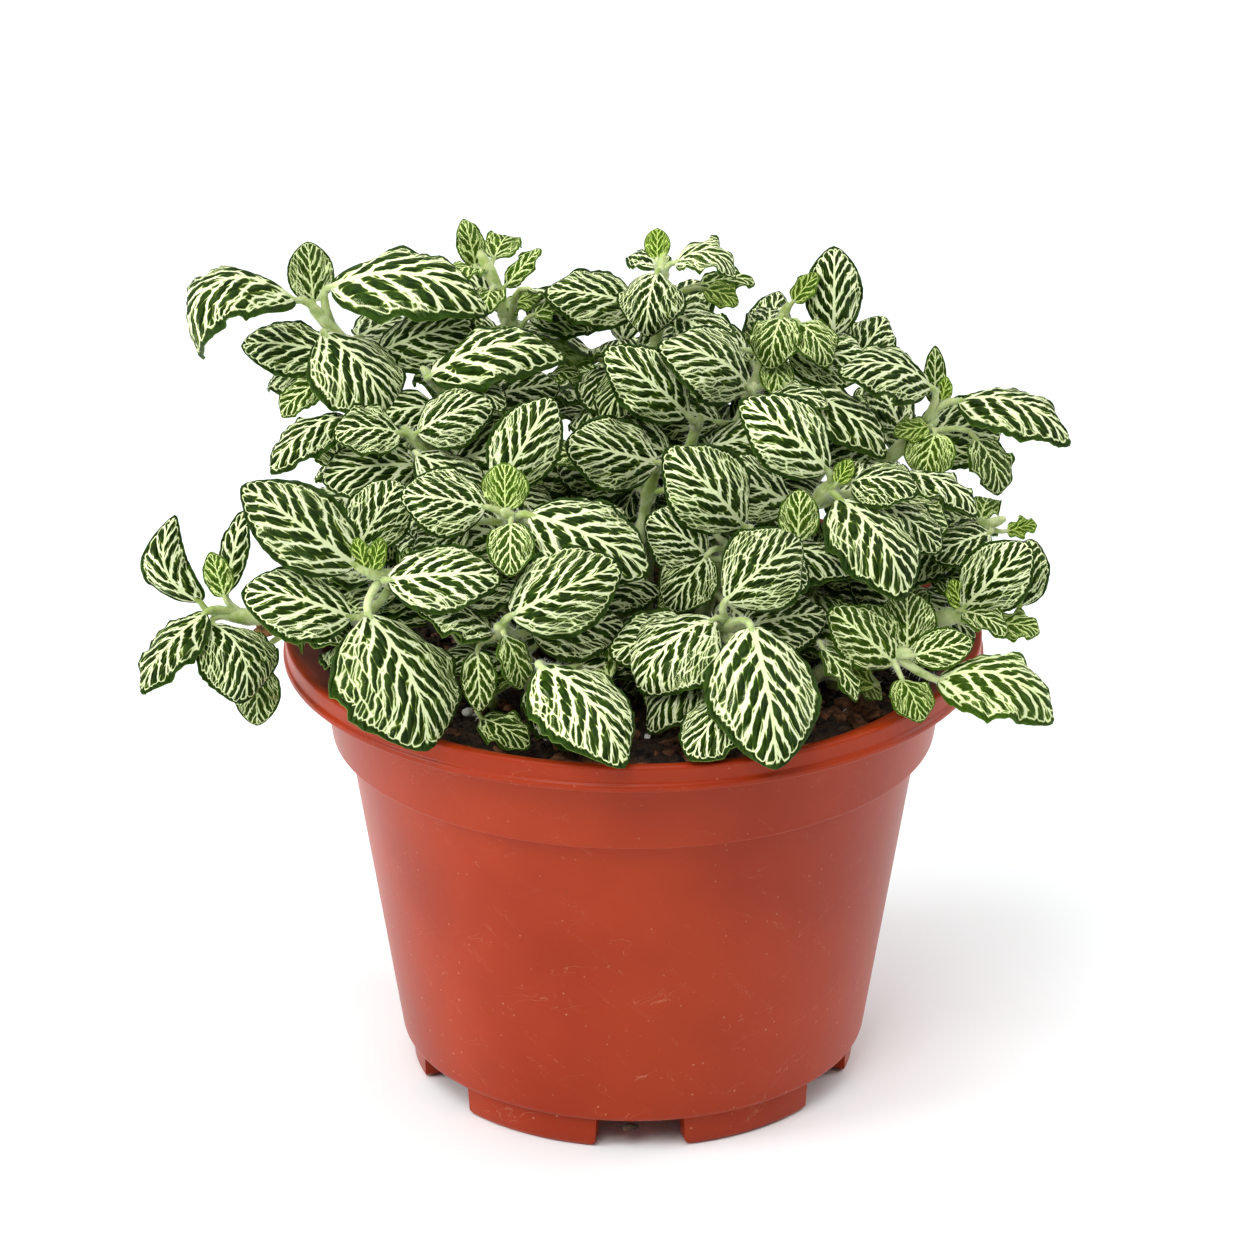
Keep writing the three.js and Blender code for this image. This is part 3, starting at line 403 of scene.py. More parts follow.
@dataclass(frozen=True)
class StemLine:
    """The curve of a stem above the soil: it rises first, then leans out to its crown."""

    foot: tuple[float, float]
    crown: tuple[float, float, float]

    @functools.cached_property
    def controls(self) -> Array:
        """The three control points of the curve.

        Returns:
            Its start, its bend and its crown.
        """
        x, y = self.foot
        start = np.array([x, y, soil_top(x, y) + STEM_START])
        end = np.array(self.crown, float)
        bend = start + BEND_REACH * (end - start)
        bend[2] = start[2] + BEND_RISE * (end[2] - start[2])
        return np.array([start, bend, end])

    def point(self, t: float) -> Array:
        """The point at a share of the curve."""
        start, bend, end = self.controls
        return (1 - t) ** 2 * start + 2 * (1 - t) * t * bend + t * t * end


@dataclass(frozen=True)
class Leaf:
    """One leaf's place and shape, in millimetres from the pot's axis."""

    base: Array
    tip: Array
    width: float
    arch: float
    bow: float
    lean: float
    root: Array
    phase: float
    front: Array
    stations: tuple
    columns: tuple
    vigour_and_shade: float = 1.0
    curl: float = 0.5
    youth: float = 0.0

    @property
    def length(self) -> float:
        """The distance from base to tip."""
        return float(np.linalg.norm(self.tip - self.base))

    def moved(self, turn: float, lift: float, size: float) -> "Leaf":
        """The leaf turned about the vertical, raised and resized at its base.

        Args:
            turn: Degrees about the vertical.
            lift: Degrees upwards.
            size: The new size as a share of the old.

        Returns:
            The moved leaf.
        """
        reach = self.tip - self.base
        bearing = math.atan2(reach[1], reach[0]) + math.radians(turn)
        rise = math.atan2(reach[2], math.hypot(reach[0], reach[1])) + math.radians(lift)
        tip = self.base + direction(bearing, rise) * self.length * size
        return replace(self, tip=tip, width=self.width * size, arch=self.arch * size)


class Blade:
    """The shape of a blade: t runs from its base to its tip, v from its left to its right margin."""

    def __init__(self, leaf: Leaf) -> None:
        """Sets the blade's axes from its leaf.

        Args:
            leaf: The leaf.
        """
        self.leaf = leaf
        self.length = leaf.length
        self.along = unit(leaf.tip - leaf.base)
        lean = math.radians(leaf.lean)
        face = leaf.front * math.sin(lean) + UP * math.cos(lean)
        self.up = unit(face - self.along * face.dot(self.along))
        self.side = np.cross(self.along, self.up)
        self.cup = YOUNG_CUP if self.length < YOUNG_LENGTH else CUP

    def half_width(self, t: Array) -> Array:
        """Half the blade's width at t.

        Args:
            t: Shares of the length.

        Returns:
            The half widths, in millimetres.
        """
        widest = BASE_POWER / (BASE_POWER + TIP_POWER)
        peak = widest**BASE_POWER * (1 - widest) ** TIP_POWER
        return self.leaf.width / 2 * t**BASE_POWER * (1 - t) ** TIP_POWER / peak

    def normal(self, t: Array) -> Array:
        """The upward normal of the midrib at t.

        Args:
            t: Shares of the length.

        Returns:
            The unit normals.
        """
        slope = 4 * self.leaf.arch * (1 - 2 * t)
        normal = self.up * self.length - self.along * slope[..., None]
        return normal / np.linalg.norm(normal, axis=-1, keepdims=True)

    def point(self, t: Array, v: Array, stretch: float = 1) -> Array:
        """The middle of the blade at t and v, without its fine relief.

        Args:
            t: Shares of the length.
            v: Shares of the half width, from -1 to 1.
            stretch: What the half width is multiplied by.

        Returns:
            The points, in millimetres.
        """
        half = self.half_width(t) * stretch
        wave = np.sin(2 * math.pi * RIPPLE_WAVES * t + self.leaf.phase + 2 * v)
        lift = v * v * (self.cup * half + RIPPLE * wave * half * 2 / self.leaf.width)
        bulge = 4 * t * (1 - t)
        point = self.leaf.base + self.along * (self.length * t)[..., None]
        point = point + self.up * (self.leaf.arch * bulge)[..., None]
        point = point + self.side * (self.leaf.bow * bulge + half * v)[..., None]
        return point + self.normal(t) * lift[..., None]

    def corners(self) -> Array:
        """The corners of the leaf's faceted blade in the solids.

        Returns:
            The points, in millimetres.
        """
        t, v = np.meshgrid(self.leaf.stations, self.leaf.columns, indexing="ij")
        middle = self.point(t, v)
        shift = self.normal(t) * BLADE_THICKNESS / 2
        tip = self.normal(np.array(1.0)) * BLADE_THICKNESS / 2
        ends = [self.leaf.tip + tip, self.leaf.tip - tip]
        return np.vstack([(middle + shift).reshape(-1, 3), (middle - shift).reshape(-1, 3), ends])


def vein_place(x: Array, y: Array, chance: float, veins: float) -> Array:
    """The number of the side vein, in parts, that a place on a leaf belongs to.

    Args:
        x: Distance from the midrib, in leaf lengths, negative to the left.
        y: Share of the leaf's length.
        chance: The leaf's own number between 0 and 1.
        veins: How many side veins a leaf length holds.

    Returns:
        The vein's number, whose half marks a vein.
    """
    away = np.abs(x)
    start = (y - VEIN_SLOPE * away - VEIN_CURVE * away * away) / (1 + VEIN_STEEPENING * away)
    warp = 0
    for size, up, across, own in VEIN_WARPS:
        warp = warp + size * np.sin(up * y + across * x + own * chance)
    count = veins * np.maximum(start, 0) + FAN_VEINS * np.minimum(start, 0) / (away + FAN_CORE)
    return count + VEIN_STAGGER * np.sign(x) + VEIN_SHIFT * chance + warp


class Grid(Enum):
    """How many rows and columns a leaf's mesh has."""

    LARGE = (38, 18)
    MIDDLE = (28, 14)
    SMALL = (20, 10)


@functools.lru_cache
def blade_faces(rows: int, columns: int) -> tuple[list, list]:
    """The faces of a thin closed blade.

    The top comes first, row by row, then the bottom, then the base's and the tip's two points.

    Args:
        rows: Rows of points between base and tip.
        columns: Points in a row.

    Returns:
        The upper faces, and then the lower and edge faces.
    """
    size = rows * columns
    base, base_low, tip, tip_low = (2 * size + i for i in range(4))
    upper = []
    lower = []
    last = columns - 1
    for i in range(rows - 1):
        for j in range(last):
            a = i * columns + j
            b = a + columns
            upper.append((a, a + 1, b + 1, b))
            lower.append((size + a, size + b, size + b + 1, size + a + 1))
    end = (rows - 1) * columns
    for j in range(last):
        upper += [(base, j + 1, j), (end + j, end + j + 1, tip)]
        lower += [(base_low, size + j, size + j + 1), (size + end + j, tip_low, size + end + j + 1)]
    left = [(base, base_low)] + [(i * columns, size + i * columns) for i in range(rows)]
    left.append((tip, tip_low))
    right = [(base, base_low)]
    right += [(i * columns + last, size + i * columns + last) for i in range(rows)]
    right.append((tip, tip_low))
    for (a, a_low), (b, b_low) in zip(left, left[1:]):
        lower.append((a, b, b_low, a_low))
    for (a, a_low), (b, b_low) in zip(right, right[1:]):
        lower.append((b, a, a_low, b_low))
    return upper, lower


class Slot(Enum):
    """The material slots of a piece of foliage."""

    STEM = 0
    LEAF_TOP = 1
    LEAF_UNDER = 2


class Shell:
    """The points, faces and values of one mesh under construction, in millimetres."""

    VALUES = ("rim", "chance", "vigour_and_shade", "youth", "veins")

    def __init__(self) -> None:
        """Starts an empty mesh."""
        self.points: list = []
        self.faces: list = []
        self.slots: list = []
        self.uv: list = []
        self.values: dict = {name: [] for name in self.VALUES}
        self.count = 0

    def add(self, points: Array, groups: dict, uv: Array | None = None, **values) -> None:
        """Adds points and the faces between them.

        Args:
            points: The points.
            groups: Lists of faces by their material slot.
            uv: A place on the leaf for each point.
            **values: One number, or one for each point, for each of the mesh's values.
        """
        size = len(points)
        for slot, faces in groups.items():
            self.faces += [tuple(i + self.count for i in face) for face in faces]
            self.slots += [slot.value] * len(faces)
        self.points.append(points)
        self.uv.append(np.zeros((size, 2)) if uv is None else uv)
        for name in self.VALUES:
            self.values[name].append(np.broadcast_to(values.get(name, 0.0), size))
        self.count += size

    def object(self, name: str, materials: list, centre: Array) -> Object:
        """The finished mesh as an object, in metres.

        Args:
            name: The object's name.
            materials: The materials, in the order of their slots.
            centre: The pot's axis in the frame, in millimetres.

        Returns:
            The object.
        """
        points = (np.vstack(self.points) + centre) * MM
        made = smooth_object(name, points.tolist(), self.faces)
        mesh = made.data
        mesh.polygons.foreach_set("material_index", self.slots)
        corner = np.zeros(len(mesh.loops), np.int32)
        mesh.loops.foreach_get("vertex_index", corner)
        layer = mesh.uv_layers.new(name="leaf")
        layer.data.foreach_set("uv", np.vstack(self.uv)[corner].astype(np.float32).ravel())
        for key, parts in self.values.items():
            attribute = mesh.attributes.new(key, "FLOAT", "POINT")
            attribute.data.foreach_set("value", np.concatenate(parts).astype(np.float32))
        for material in materials:
            mesh.materials.append(material)
        mesh.update()
        return made


def linked(thing: Object) -> Object:
    """The object, once it is in the scene."""
    bpy.context.scene.collection.objects.link(thing)
    return thing


def smooth_object(name: str, points: list, faces: list) -> Object:
    """An object of smooth faces.

    Args:
        name: The name of the object and its mesh.
        points: The mesh's points.
        faces: The faces between them.

    Returns:
        The object, in the scene.
    """
    mesh = bpy.data.meshes.new(name)
    mesh.from_pydata(points, [], faces)
    mesh.polygons.foreach_set("use_smooth", [True] * len(faces))
    mesh.update()
    return linked(bpy.data.objects.new(name, mesh))


class LeafMaker:
    """Turns a leaf into a fine thin mesh with veins in relief."""

    QUILT = 0.42
    QUILT_WIDTH = 0.55
    QUILTED_LENGTH = 20
    FORK_START = 0.07
    FORK_SPREAD = 0.25
    GROOVE = 0.4
    GROOVE_WIDTH = 0.9
    KEEL = 0.5
    KEEL_WIDTH = 0.7
    EDGE_THICKNESS = 0.2
    EXTRA_THICKNESS = 0.24
    END_THICKNESS = 0.12
    SCALLOP = 0.010
    SCALLOPS = 9
    RUFFLE = 0.65
    RUFFLE_START = 0.45
    RUFFLE_WAVES = (3.3, 7.4)
    RUFFLED_LENGTH = 15
    FOLD = -0.27
    TWIST = 0.6
    TWIST_START = 0.3
    POINT = 0.2
    POINT_START = 0.6
    CURL_START = 0.66
    END_CROWDING = 0.15
    VEIN_LENGTHS = (6, 18)
    VEIN_COUNTS = (4.5, 6.4)
    ADULT_LENGTH = 12
    YOUNG_SPAN = 6

    def __init__(self, leaf: Leaf, chance: float) -> None:
        """Keeps the leaf and its own number.

        Args:
            leaf: The leaf.
            chance: A number between 0 and 1 that sets its pattern.
        """
        self.leaf = leaf
        self.blade = Blade(leaf)
        self.chance = chance
        self.veins = float(np.interp(leaf.length, self.VEIN_LENGTHS, self.VEIN_COUNTS))

    def grid(self) -> tuple[int, int]:
        """Picks the mesh by the leaf's length.

        Returns:
            Rows and columns.
        """
        if self.leaf.length > LONG_LENGTH - 4:
            return Grid.LARGE.value
        return Grid.MIDDLE.value if self.leaf.length > YOUNG_LENGTH - 2 else Grid.SMALL.value

    def relief(self, x: Array, t: Array) -> Array:
        """How far the blade stands up between its veins, in millimetres.

        Args:
            x: Distance from the midrib, in leaf lengths.
            t: Share of the leaf's length.

        Returns:
            The rise.
        """
        length = self.blade.length
        away = np.abs(x)
        place = vein_place(x, t, self.chance, self.veins)
        off = np.abs(place - np.floor(place) - 0.5)
        fork = np.clip((away - self.FORK_START) / FORK_LENGTH, 0, 1)
        gap = np.abs(off - self.FORK_SPREAD * fork) * VEIN_SLANT / self.veins * length
        high = self.QUILT * min(1, length / self.QUILTED_LENGTH)
        quilt = high * (1 - np.exp(-((gap / self.QUILT_WIDTH) ** 2)))
        groove = self.GROOVE * np.exp(-((away * length / self.GROOVE_WIDTH) ** 2)) * (1 - t) ** 0.5
        return quilt - groove

    def ruffle(self, t: Array, v: Array) -> Array:
        """How far the blade's margins wave up and down, in millimetres.

        Args:
            t: Shares of the length.
            v: Shares of the half width.

        Returns:
            The shifts.
        """
        edge = np.clip((np.abs(v) - self.RUFFLE_START) / (1 - self.RUFFLE_START), 0, 1) ** 2
        turn = 2.3 * self.leaf.phase + 1.7 * np.sign(v)
        slow, fast = self.RUFFLE_WAVES
        wave = np.sin(2 * math.pi * slow * t + turn) + 0.5 * np.sin(2 * math.pi * fast * t + 2 * turn)
        size = self.RUFFLE * min(1, self.blade.length / self.RUFFLED_LENGTH)
        return size * wave * edge * np.sin(math.pi * t)

    def curl(self, t: Array) -> Array:
        """How the blade's end rolls down, as shifts in millimetres.

        Args:
            t: Shares of the length.

        Returns:
            The shifts.
        """
        size = self.blade.length * (1 - self.CURL_START)
        run = np.clip((t - self.CURL_START) / (1 - self.CURL_START), 0, 1) * size
        radius = size / self.leaf.curl
        back = radius * np.sin(run / radius) - run
        drop = radius * (1 - np.cos(run / radius))
        down = self.blade.normal(np.array(self.CURL_START))
        return self.blade.along * back[..., None] - down * drop[..., None]

    def build(self, shell: Shell) -> None:
        """Adds the blade to a mesh.

        Args:
            shell: The mesh.
        """
        rows, columns = self.grid()
        leaf, blade = self.leaf, self.blade
        t = np.linspace(0, 1, rows + 2)[1:-1]
        crowd = self.END_CROWDING
        t = 0.5 - 0.5 * np.cos(math.pi * (crowd + (1 - 2 * crowd) * t)) / math.cos(math.pi * crowd)
        v = np.sin(np.linspace(-math.pi / 2, math.pi / 2, columns))
        t, v = np.meshgrid(t, v, indexing="ij")
        scallop = np.sin(2 * math.pi * self.SCALLOPS * t + leaf.phase)
        taper = np.clip((t - self.POINT_START) / (1 - self.POINT_START), 0, 1)
        stretch = 1 + self.SCALLOP * scallop - self.POINT * taper * taper
        middle = blade.point(t, v, stretch)
        half = blade.half_width(t) * stretch
        x = half * v / blade.length
        twist = self.TWIST * (self.chance - 0.5) * (t - self.TWIST_START)
        lift = self.relief(x, t) + self.ruffle(t, v) + half * (self.FOLD * v * v + twist * v)
        thickness = self.EDGE_THICKNESS + self.EXTRA_THICKNESS * (1 - v * v)
        keel = self.KEEL * np.exp(-((x * blade.length / self.KEEL_WIDTH) ** 2)) * (1 - t) ** 0.8
        normal = blade.normal(t)
        middle = middle + self.curl(t)
        top = middle + normal * (lift + thickness / 2)[..., None]
        bottom = middle + normal * (lift - thickness / 2 - keel)[..., None]
        start, end = blade.normal(np.array([0.0, 1.0])) * self.END_THICKNESS
        tip = leaf.tip + self.curl(np.array(1.0))
        ends = [leaf.base + start, leaf.base - start, tip + end, tip - end]
        points = np.vstack([top.reshape(-1, 3), bottom.reshape(-1, 3), ends])
        rim = (1 - np.abs(v)) * blade.half_width(t) / blade.length
        rim = np.minimum(rim, (1 - t) * 0.75)
        flat_uv = np.stack([x, t], axis=-1).reshape(-1, 2)
        uv = np.vstack([flat_uv, flat_uv, [[0, 0], [0, 0], [0, 1], [0, 1]]])
        rims = np.concatenate([rim.ravel(), rim.ravel(), np.zeros(4)])
        upper, lower = blade_faces(rows, columns)
        shortness = (self.ADULT_LENGTH - leaf.length) / self.YOUNG_SPAN
        youth = max(leaf.youth, float(np.clip(shortness, 0, 1)))
        groups = {Slot.LEAF_TOP: upper, Slot.LEAF_UNDER: lower}
        own = {"chance": self.chance, "vigour_and_shade": leaf.vigour_and_shade, "youth": youth, "veins": self.veins}
        shell.add(points, groups, uv, rim=rims, **own)


@dataclass
class Stem:
    """A stem with the leaves that it carries."""

    name: str
    line: StemLine
    listed: list
    ruled: list
    leaves: list = field(default_factory=list)


class PlantRule:
    """Lays out the stems and leaves as the solids do, and finds where each leaf was placed."""

    SEED = 7
    FOUND_MM = 0.04
    FOUND_SHARE = 0.45
    FILL_SEED = 31
    STALK_STEPS = 16
    SOIL_GAP = 2
    LEAF_GAP = 1.1
    STEM_GAP = 1.6
    NEIGHBOURHOOD = 22

    def __init__(self) -> None:
        """Draws all stems and leaves, in the order of the solids."""
        draws = Draws(self.SEED)
        front = [StemLine(foot, crown) for foot, crown, _ in FRONT_STEMS]
        listed = [
            self.listed_leaves(rows, line, draws) for (_, _, rows), line in zip(FRONT_STEMS, front)
        ]
        ruled = [self.inner_leaves(line, draws) for line in front]
        back = self.back_lines(draws)
        listed += [[] for _ in back]
        ruled += [self.back_leaves(line, draws) for line in back]
        for i, line in enumerate(front):
            ruled[i] = self.filling_leaves(line, draws) + ruled[i]
        self.stems = [
            Stem(f"leafy_stem_{i + 1:02d}", line, listed[i], ruled[i])
            for i, line in enumerate(front + back)
        ]

    @staticmethod
    def listed_leaves(rows: tuple, line: StemLine, draws: Draws) -> list[Leaf]:
        """The leaves of a stem at the front, from their rows.

        Args:
            rows: The rows of its leaves.
            line: The stem's curve.
            draws: The sequence of draws.

        Returns:
            The leaves.
        """
        leaves = []
        for order, (base, tip, width, arch, lean, *bow) in enumerate(rows):
            base, tip = np.array(base, float), np.array(tip, float)
            phase = draws.between(0, 2 * math.pi)
            length = np.linalg.norm(tip - base)
            stations = LONG_STATIONS if length >= LONG_LENGTH else MIDDLE_STATIONS
            stations = YOUNG_STATIONS if length < YOUNG_LENGTH else stations
            columns = FOLDED if width > FOLDED_WIDTH else FLAT
            root = stalk_root(line, base, order)
            leaves.append(
                Leaf(base, tip, width, arch, sum(bow), lean, root, phase, FRONT, stations, columns)
            )
        return leaves

    @staticmethod
    def leaf_pair(
        line: StemLine, pair: tuple, bearing: float, lean: float, front: Array, draws: Draws
    ) -> list[Leaf]:
        """A pair of opposite leaves on a stem.

        Args:
            line: The stem's curve.
            pair: How far up the stem, the leaf length and the rise.
            bearing: The bearing of the first leaf, in degrees.
            lean: How far the faces lean, in degrees.
            front: The direction that they lean to.
            draws: The sequence of draws.

        Returns:
            The two leaves.
        """
        along, length, rise = pair
        leaves = []
        for turn in (0, 180):
            angle = math.radians(bearing + turn + draws.between(-PAIR_TURN, PAIR_TURN))
            raised = math.radians(rise + draws.between(-PAIR_RISE, PAIR_RISE))
            size = length * draws.between(*PAIR_SIZES)
            way = direction(angle, raised)
            root = line.point(along * PAIR_ROOT)
            base = line.point(along) + way * PAIR_STALK
            width = size * PAIR_WIDTH_SHARE * draws.between(*PAIR_WIDTHS)
            phase = draws.between(0, 2 * math.pi)
            stations = MIDDLE_STATIONS if length > LONG_LENGTH else YOUNG_STATIONS
            arch = size * PAIR_ARCH_SHARE
            leaves.append(
                Leaf(base, base + way * size, width, arch, 0, lean, root, phase, front, stations, FLAT)
            )
        return leaves

    @classmethod
    def inner_leaves(cls, line: StemLine, draws: Draws) -> list[Leaf]:
        """The leaf inside the front half, behind the ones that show.

        Args:
            line: The stem's curve.
            draws: The sequence of draws.

        Returns:
            One leaf or none.
        """
        if line.crown[1] >= 0:
            return []
        bearing = INNER_BEARING + draws.between(-INNER_SPREAD, INNER_SPREAD)
        return cls.leaf_pair(line, INNER_LEAF, bearing, 0, FRONT, draws)[:1]

    @classmethod
    def filling_leaves(cls, line: StemLine, draws: Draws) -> list[Leaf]:
        """The pair between the leaves that show.

        Args:
            line: The stem's curve.
            draws: The sequence of draws.

        Returns:
            Two leaves or none.
        """
        if math.hypot(line.crown[0], line.crown[1]) >= FILLING_REACH:
            return []
        bearing = FILLING_BEARING + draws.between(-FILLING_SPREAD, FILLING_SPREAD)
        return cls.leaf_pair(line, FILLING_PAIR, bearing, FILLING_LEAN, FRONT, draws)

    @staticmethod
    def back_lines(draws: Draws) -> list[StemLine]:
        """The stems of the back half, on their arcs.

        Args:
            draws: The sequence of draws.

        Returns:
            Their curves.
        """
        lines = []
        for radius, height, first, last, count in BACK_ROWS:
            for i in range(count):
                share = i / max(count - 1, 1)
                angle = math.radians(first + (last - first) * share)
                reach = radius + draws.between(-BACK_JITTER, BACK_JITTER)
                x, y = reach * math.cos(angle), reach * math.sin(angle)
                z = height + draws.between(-BACK_JITTER, BACK_JITTER)
                lines.append(StemLine((x * BACK_FOOT_SHARE, y * BACK_FOOT_SHARE), (x, y, z)))
        return lines

    @classmethod
    def back_leaves(cls, line: StemLine, draws: Draws) -> list[Leaf]:
        """The pairs of leaves on a stem of the back half.

        Args:
            line: The stem's curve.
            draws: The sequence of draws.

        Returns:
            The leaves.
        """
        x, y, _ = line.crown
        outward = unit(np.array([x, y, 0.0]))
        bearing = math.degrees(math.atan2(y, x)) + 90 + draws.between(-BACK_TURN, BACK_TURN)
        leaves = []
        for pair in BACK_PAIRS:
            bearing += 90
            leaves += cls.leaf_pair(line, pair, bearing, BACK_LEAN, outward, draws)
        return leaves

    def settle(self, nodes: dict, centre: Array) -> None:
        """Finds which of its moves each leaf took in the solids, or that it was left out.

        Args:
            nodes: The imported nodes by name.
            centre: The pot's axis in the frame, in millimetres.
        """
        for stem in self.stems:
            mesh = nodes[stem.name].data
            flat = np.zeros(len(mesh.vertices) * 3)
            mesh.vertices.foreach_get("co", flat)
            corners = flat.reshape(-1, 3) / MM - centre
            for leaves, moves in ((stem.listed, SMALL_MOVES), (stem.ruled, WIDE_MOVES)):
                for leaf in leaves:
                    found = [(self.share_found(leaf.moved(*move), corners), move) for move in moves]
                    share, move = max(found, key=lambda pair: pair[0])
                    if share > self.FOUND_SHARE:
                        stem.leaves.append(leaf.moved(*move))
                    elif moves is SMALL_MOVES:
                        LOG.warning("%s: a listed leaf was left out", stem.name)

    def fill(self) -> None:
        """Adds small shaded leaves low on the stems, where they come near no other leaf."""
        draws = Draws(self.FILL_SEED)
        taken = [leaf_samples(leaf) for stem in self.stems for leaf in stem.leaves]
        middles = [part.mean(axis=0) for part in taken]
        shares = [i / self.STALK_STEPS for i in range(self.STALK_STEPS + 1)]
        stalks = [np.array([stem.line.point(t) for t in shares]) for stem in self.stems]
        rounds = [(i, tries, sizes) for tries, sizes in UNDERGROWTH for i in range(len(stalks))]
        for i, tries, sizes in rounds:
            stem = self.stems[i]
            others = np.vstack(stalks[:i] + stalks[i + 1:])
            highest, steepest = UNDERGROWTH_FRONT if stem.listed else UNDERGROWTH_BACK
            for k in range(tries):
                along = UNDERGROWTH_START + (highest - UNDERGROWTH_START) * k / (tries - 1)
                bearing = draws.between(0, 360)
                pair = (along, draws.between(*sizes), draws.between(UNDERGROWTH_DROOP, steepest))
                for leaf in self.leaf_pair(stem.line, pair, bearing, UNDERGROWTH_LEAN, FRONT, draws):
                    samples = leaf_samples(leaf)
                    if not self.inside_pot(samples):
                        continue
                    middle = samples.mean(axis=0)
                    gaps = np.linalg.norm(np.array(middles) - middle, axis=1)
                    near = [taken[j] for j in np.flatnonzero(gaps < self.NEIGHBOURHOOD)]
                    if near and gap_between(samples, np.vstack(near)) < self.LEAF_GAP:
                        continue
                    if gap_between(samples, others) < self.STEM_GAP:
                        continue
                    taken.append(samples)
                    middles.append(middle)
                    stem.leaves.append(leaf)

    def inside_pot(self, samples: Array) -> bool:
        """Whether a small shaded leaf keeps clear of the pot's wall, its rim and the soil.

        Args:
            samples: Points all over the leaf.

        Returns:
            True if it does.
        """
        x, y, z = samples.T
        within = np.interp(z, WALL_HEIGHTS, WALL_REACHES)
        allowed = np.where(z > WALL_HEIGHTS[-1], OVER_RIM_REACH, within)
        above = (z - soil_top(x, y)).min() >= self.SOIL_GAP
        return bool(above and not (np.hypot(x, y) > allowed).any())

    def share_found(self, leaf: Leaf, corners: Array) -> float:
        """The share of a leaf's corners that a node's mesh has.

        Args:
            leaf: The leaf.
            corners: The mesh's corners, in millimetres.

        Returns:
            The share.
        """
        wanted = Blade(leaf).corners()
        gaps = np.linalg.norm(wanted[:, None] - corners[None], axis=2).min(axis=1)
        return float((gaps < self.FOUND_MM).mean())


def leaf_samples(leaf: Leaf) -> Array:
    """Points all over a leaf's blade, 1 to 2 mm apart."""
    t, v = np.meshgrid(np.linspace(0.03, 1, 13), np.linspace(-1, 1, 9), indexing="ij")
    return Blade(leaf).point(t, v).reshape(-1, 3)


def gap_between(first: Array, second: Array) -> float:
    """The least distance between two sets of points."""
    return float(np.linalg.norm(first[:, None] - second[None], axis=2).min())


def stalk_root(line: StemLine, base: Array, order: int) -> Array:
    """The point of the stem that a leaf's stalk grows from.

    Args:
        line: The stem's curve.
        base: Where the leaf's blade starts.
        order: The leaf's number on the stem.

    Returns:
        The point.
    """
    gaps = [np.linalg.norm(line.point(i / NEAREST_STEPS) - base) for i in range(NEAREST_STEPS + 1)]
    nearest = int(np.argmin(gaps)) / NEAREST_STEPS
    return line.point(max(STALK_LOWEST, nearest - STALK_SETBACK - STALK_STEP * order))


class NodeMaker:
    """Adds nodes to a tree by short calls."""

    PREFIX = ""

    def __init__(self, tree: NodeTree) -> None:
        """Keeps the tree that the nodes go into."""
        self.tree = tree

    def node(self, kind: str, inputs: dict | None = None, **settings: object) -> Node:
        """Adds a node.

        Args:
            kind: The node's type, without the prefix of its kind of tree.
            inputs: Values or sockets by the input's name or number.
            **settings: The node's own settings.

        Returns:
            The node.
        """
        whole = kind if kind.startswith(("Function", "Shader")) else self.PREFIX + kind
        node = self.tree.nodes.new(whole)
        for key, value in settings.items():
            setattr(node, key, value)
        wire(self.tree, node, inputs or {})
        return node


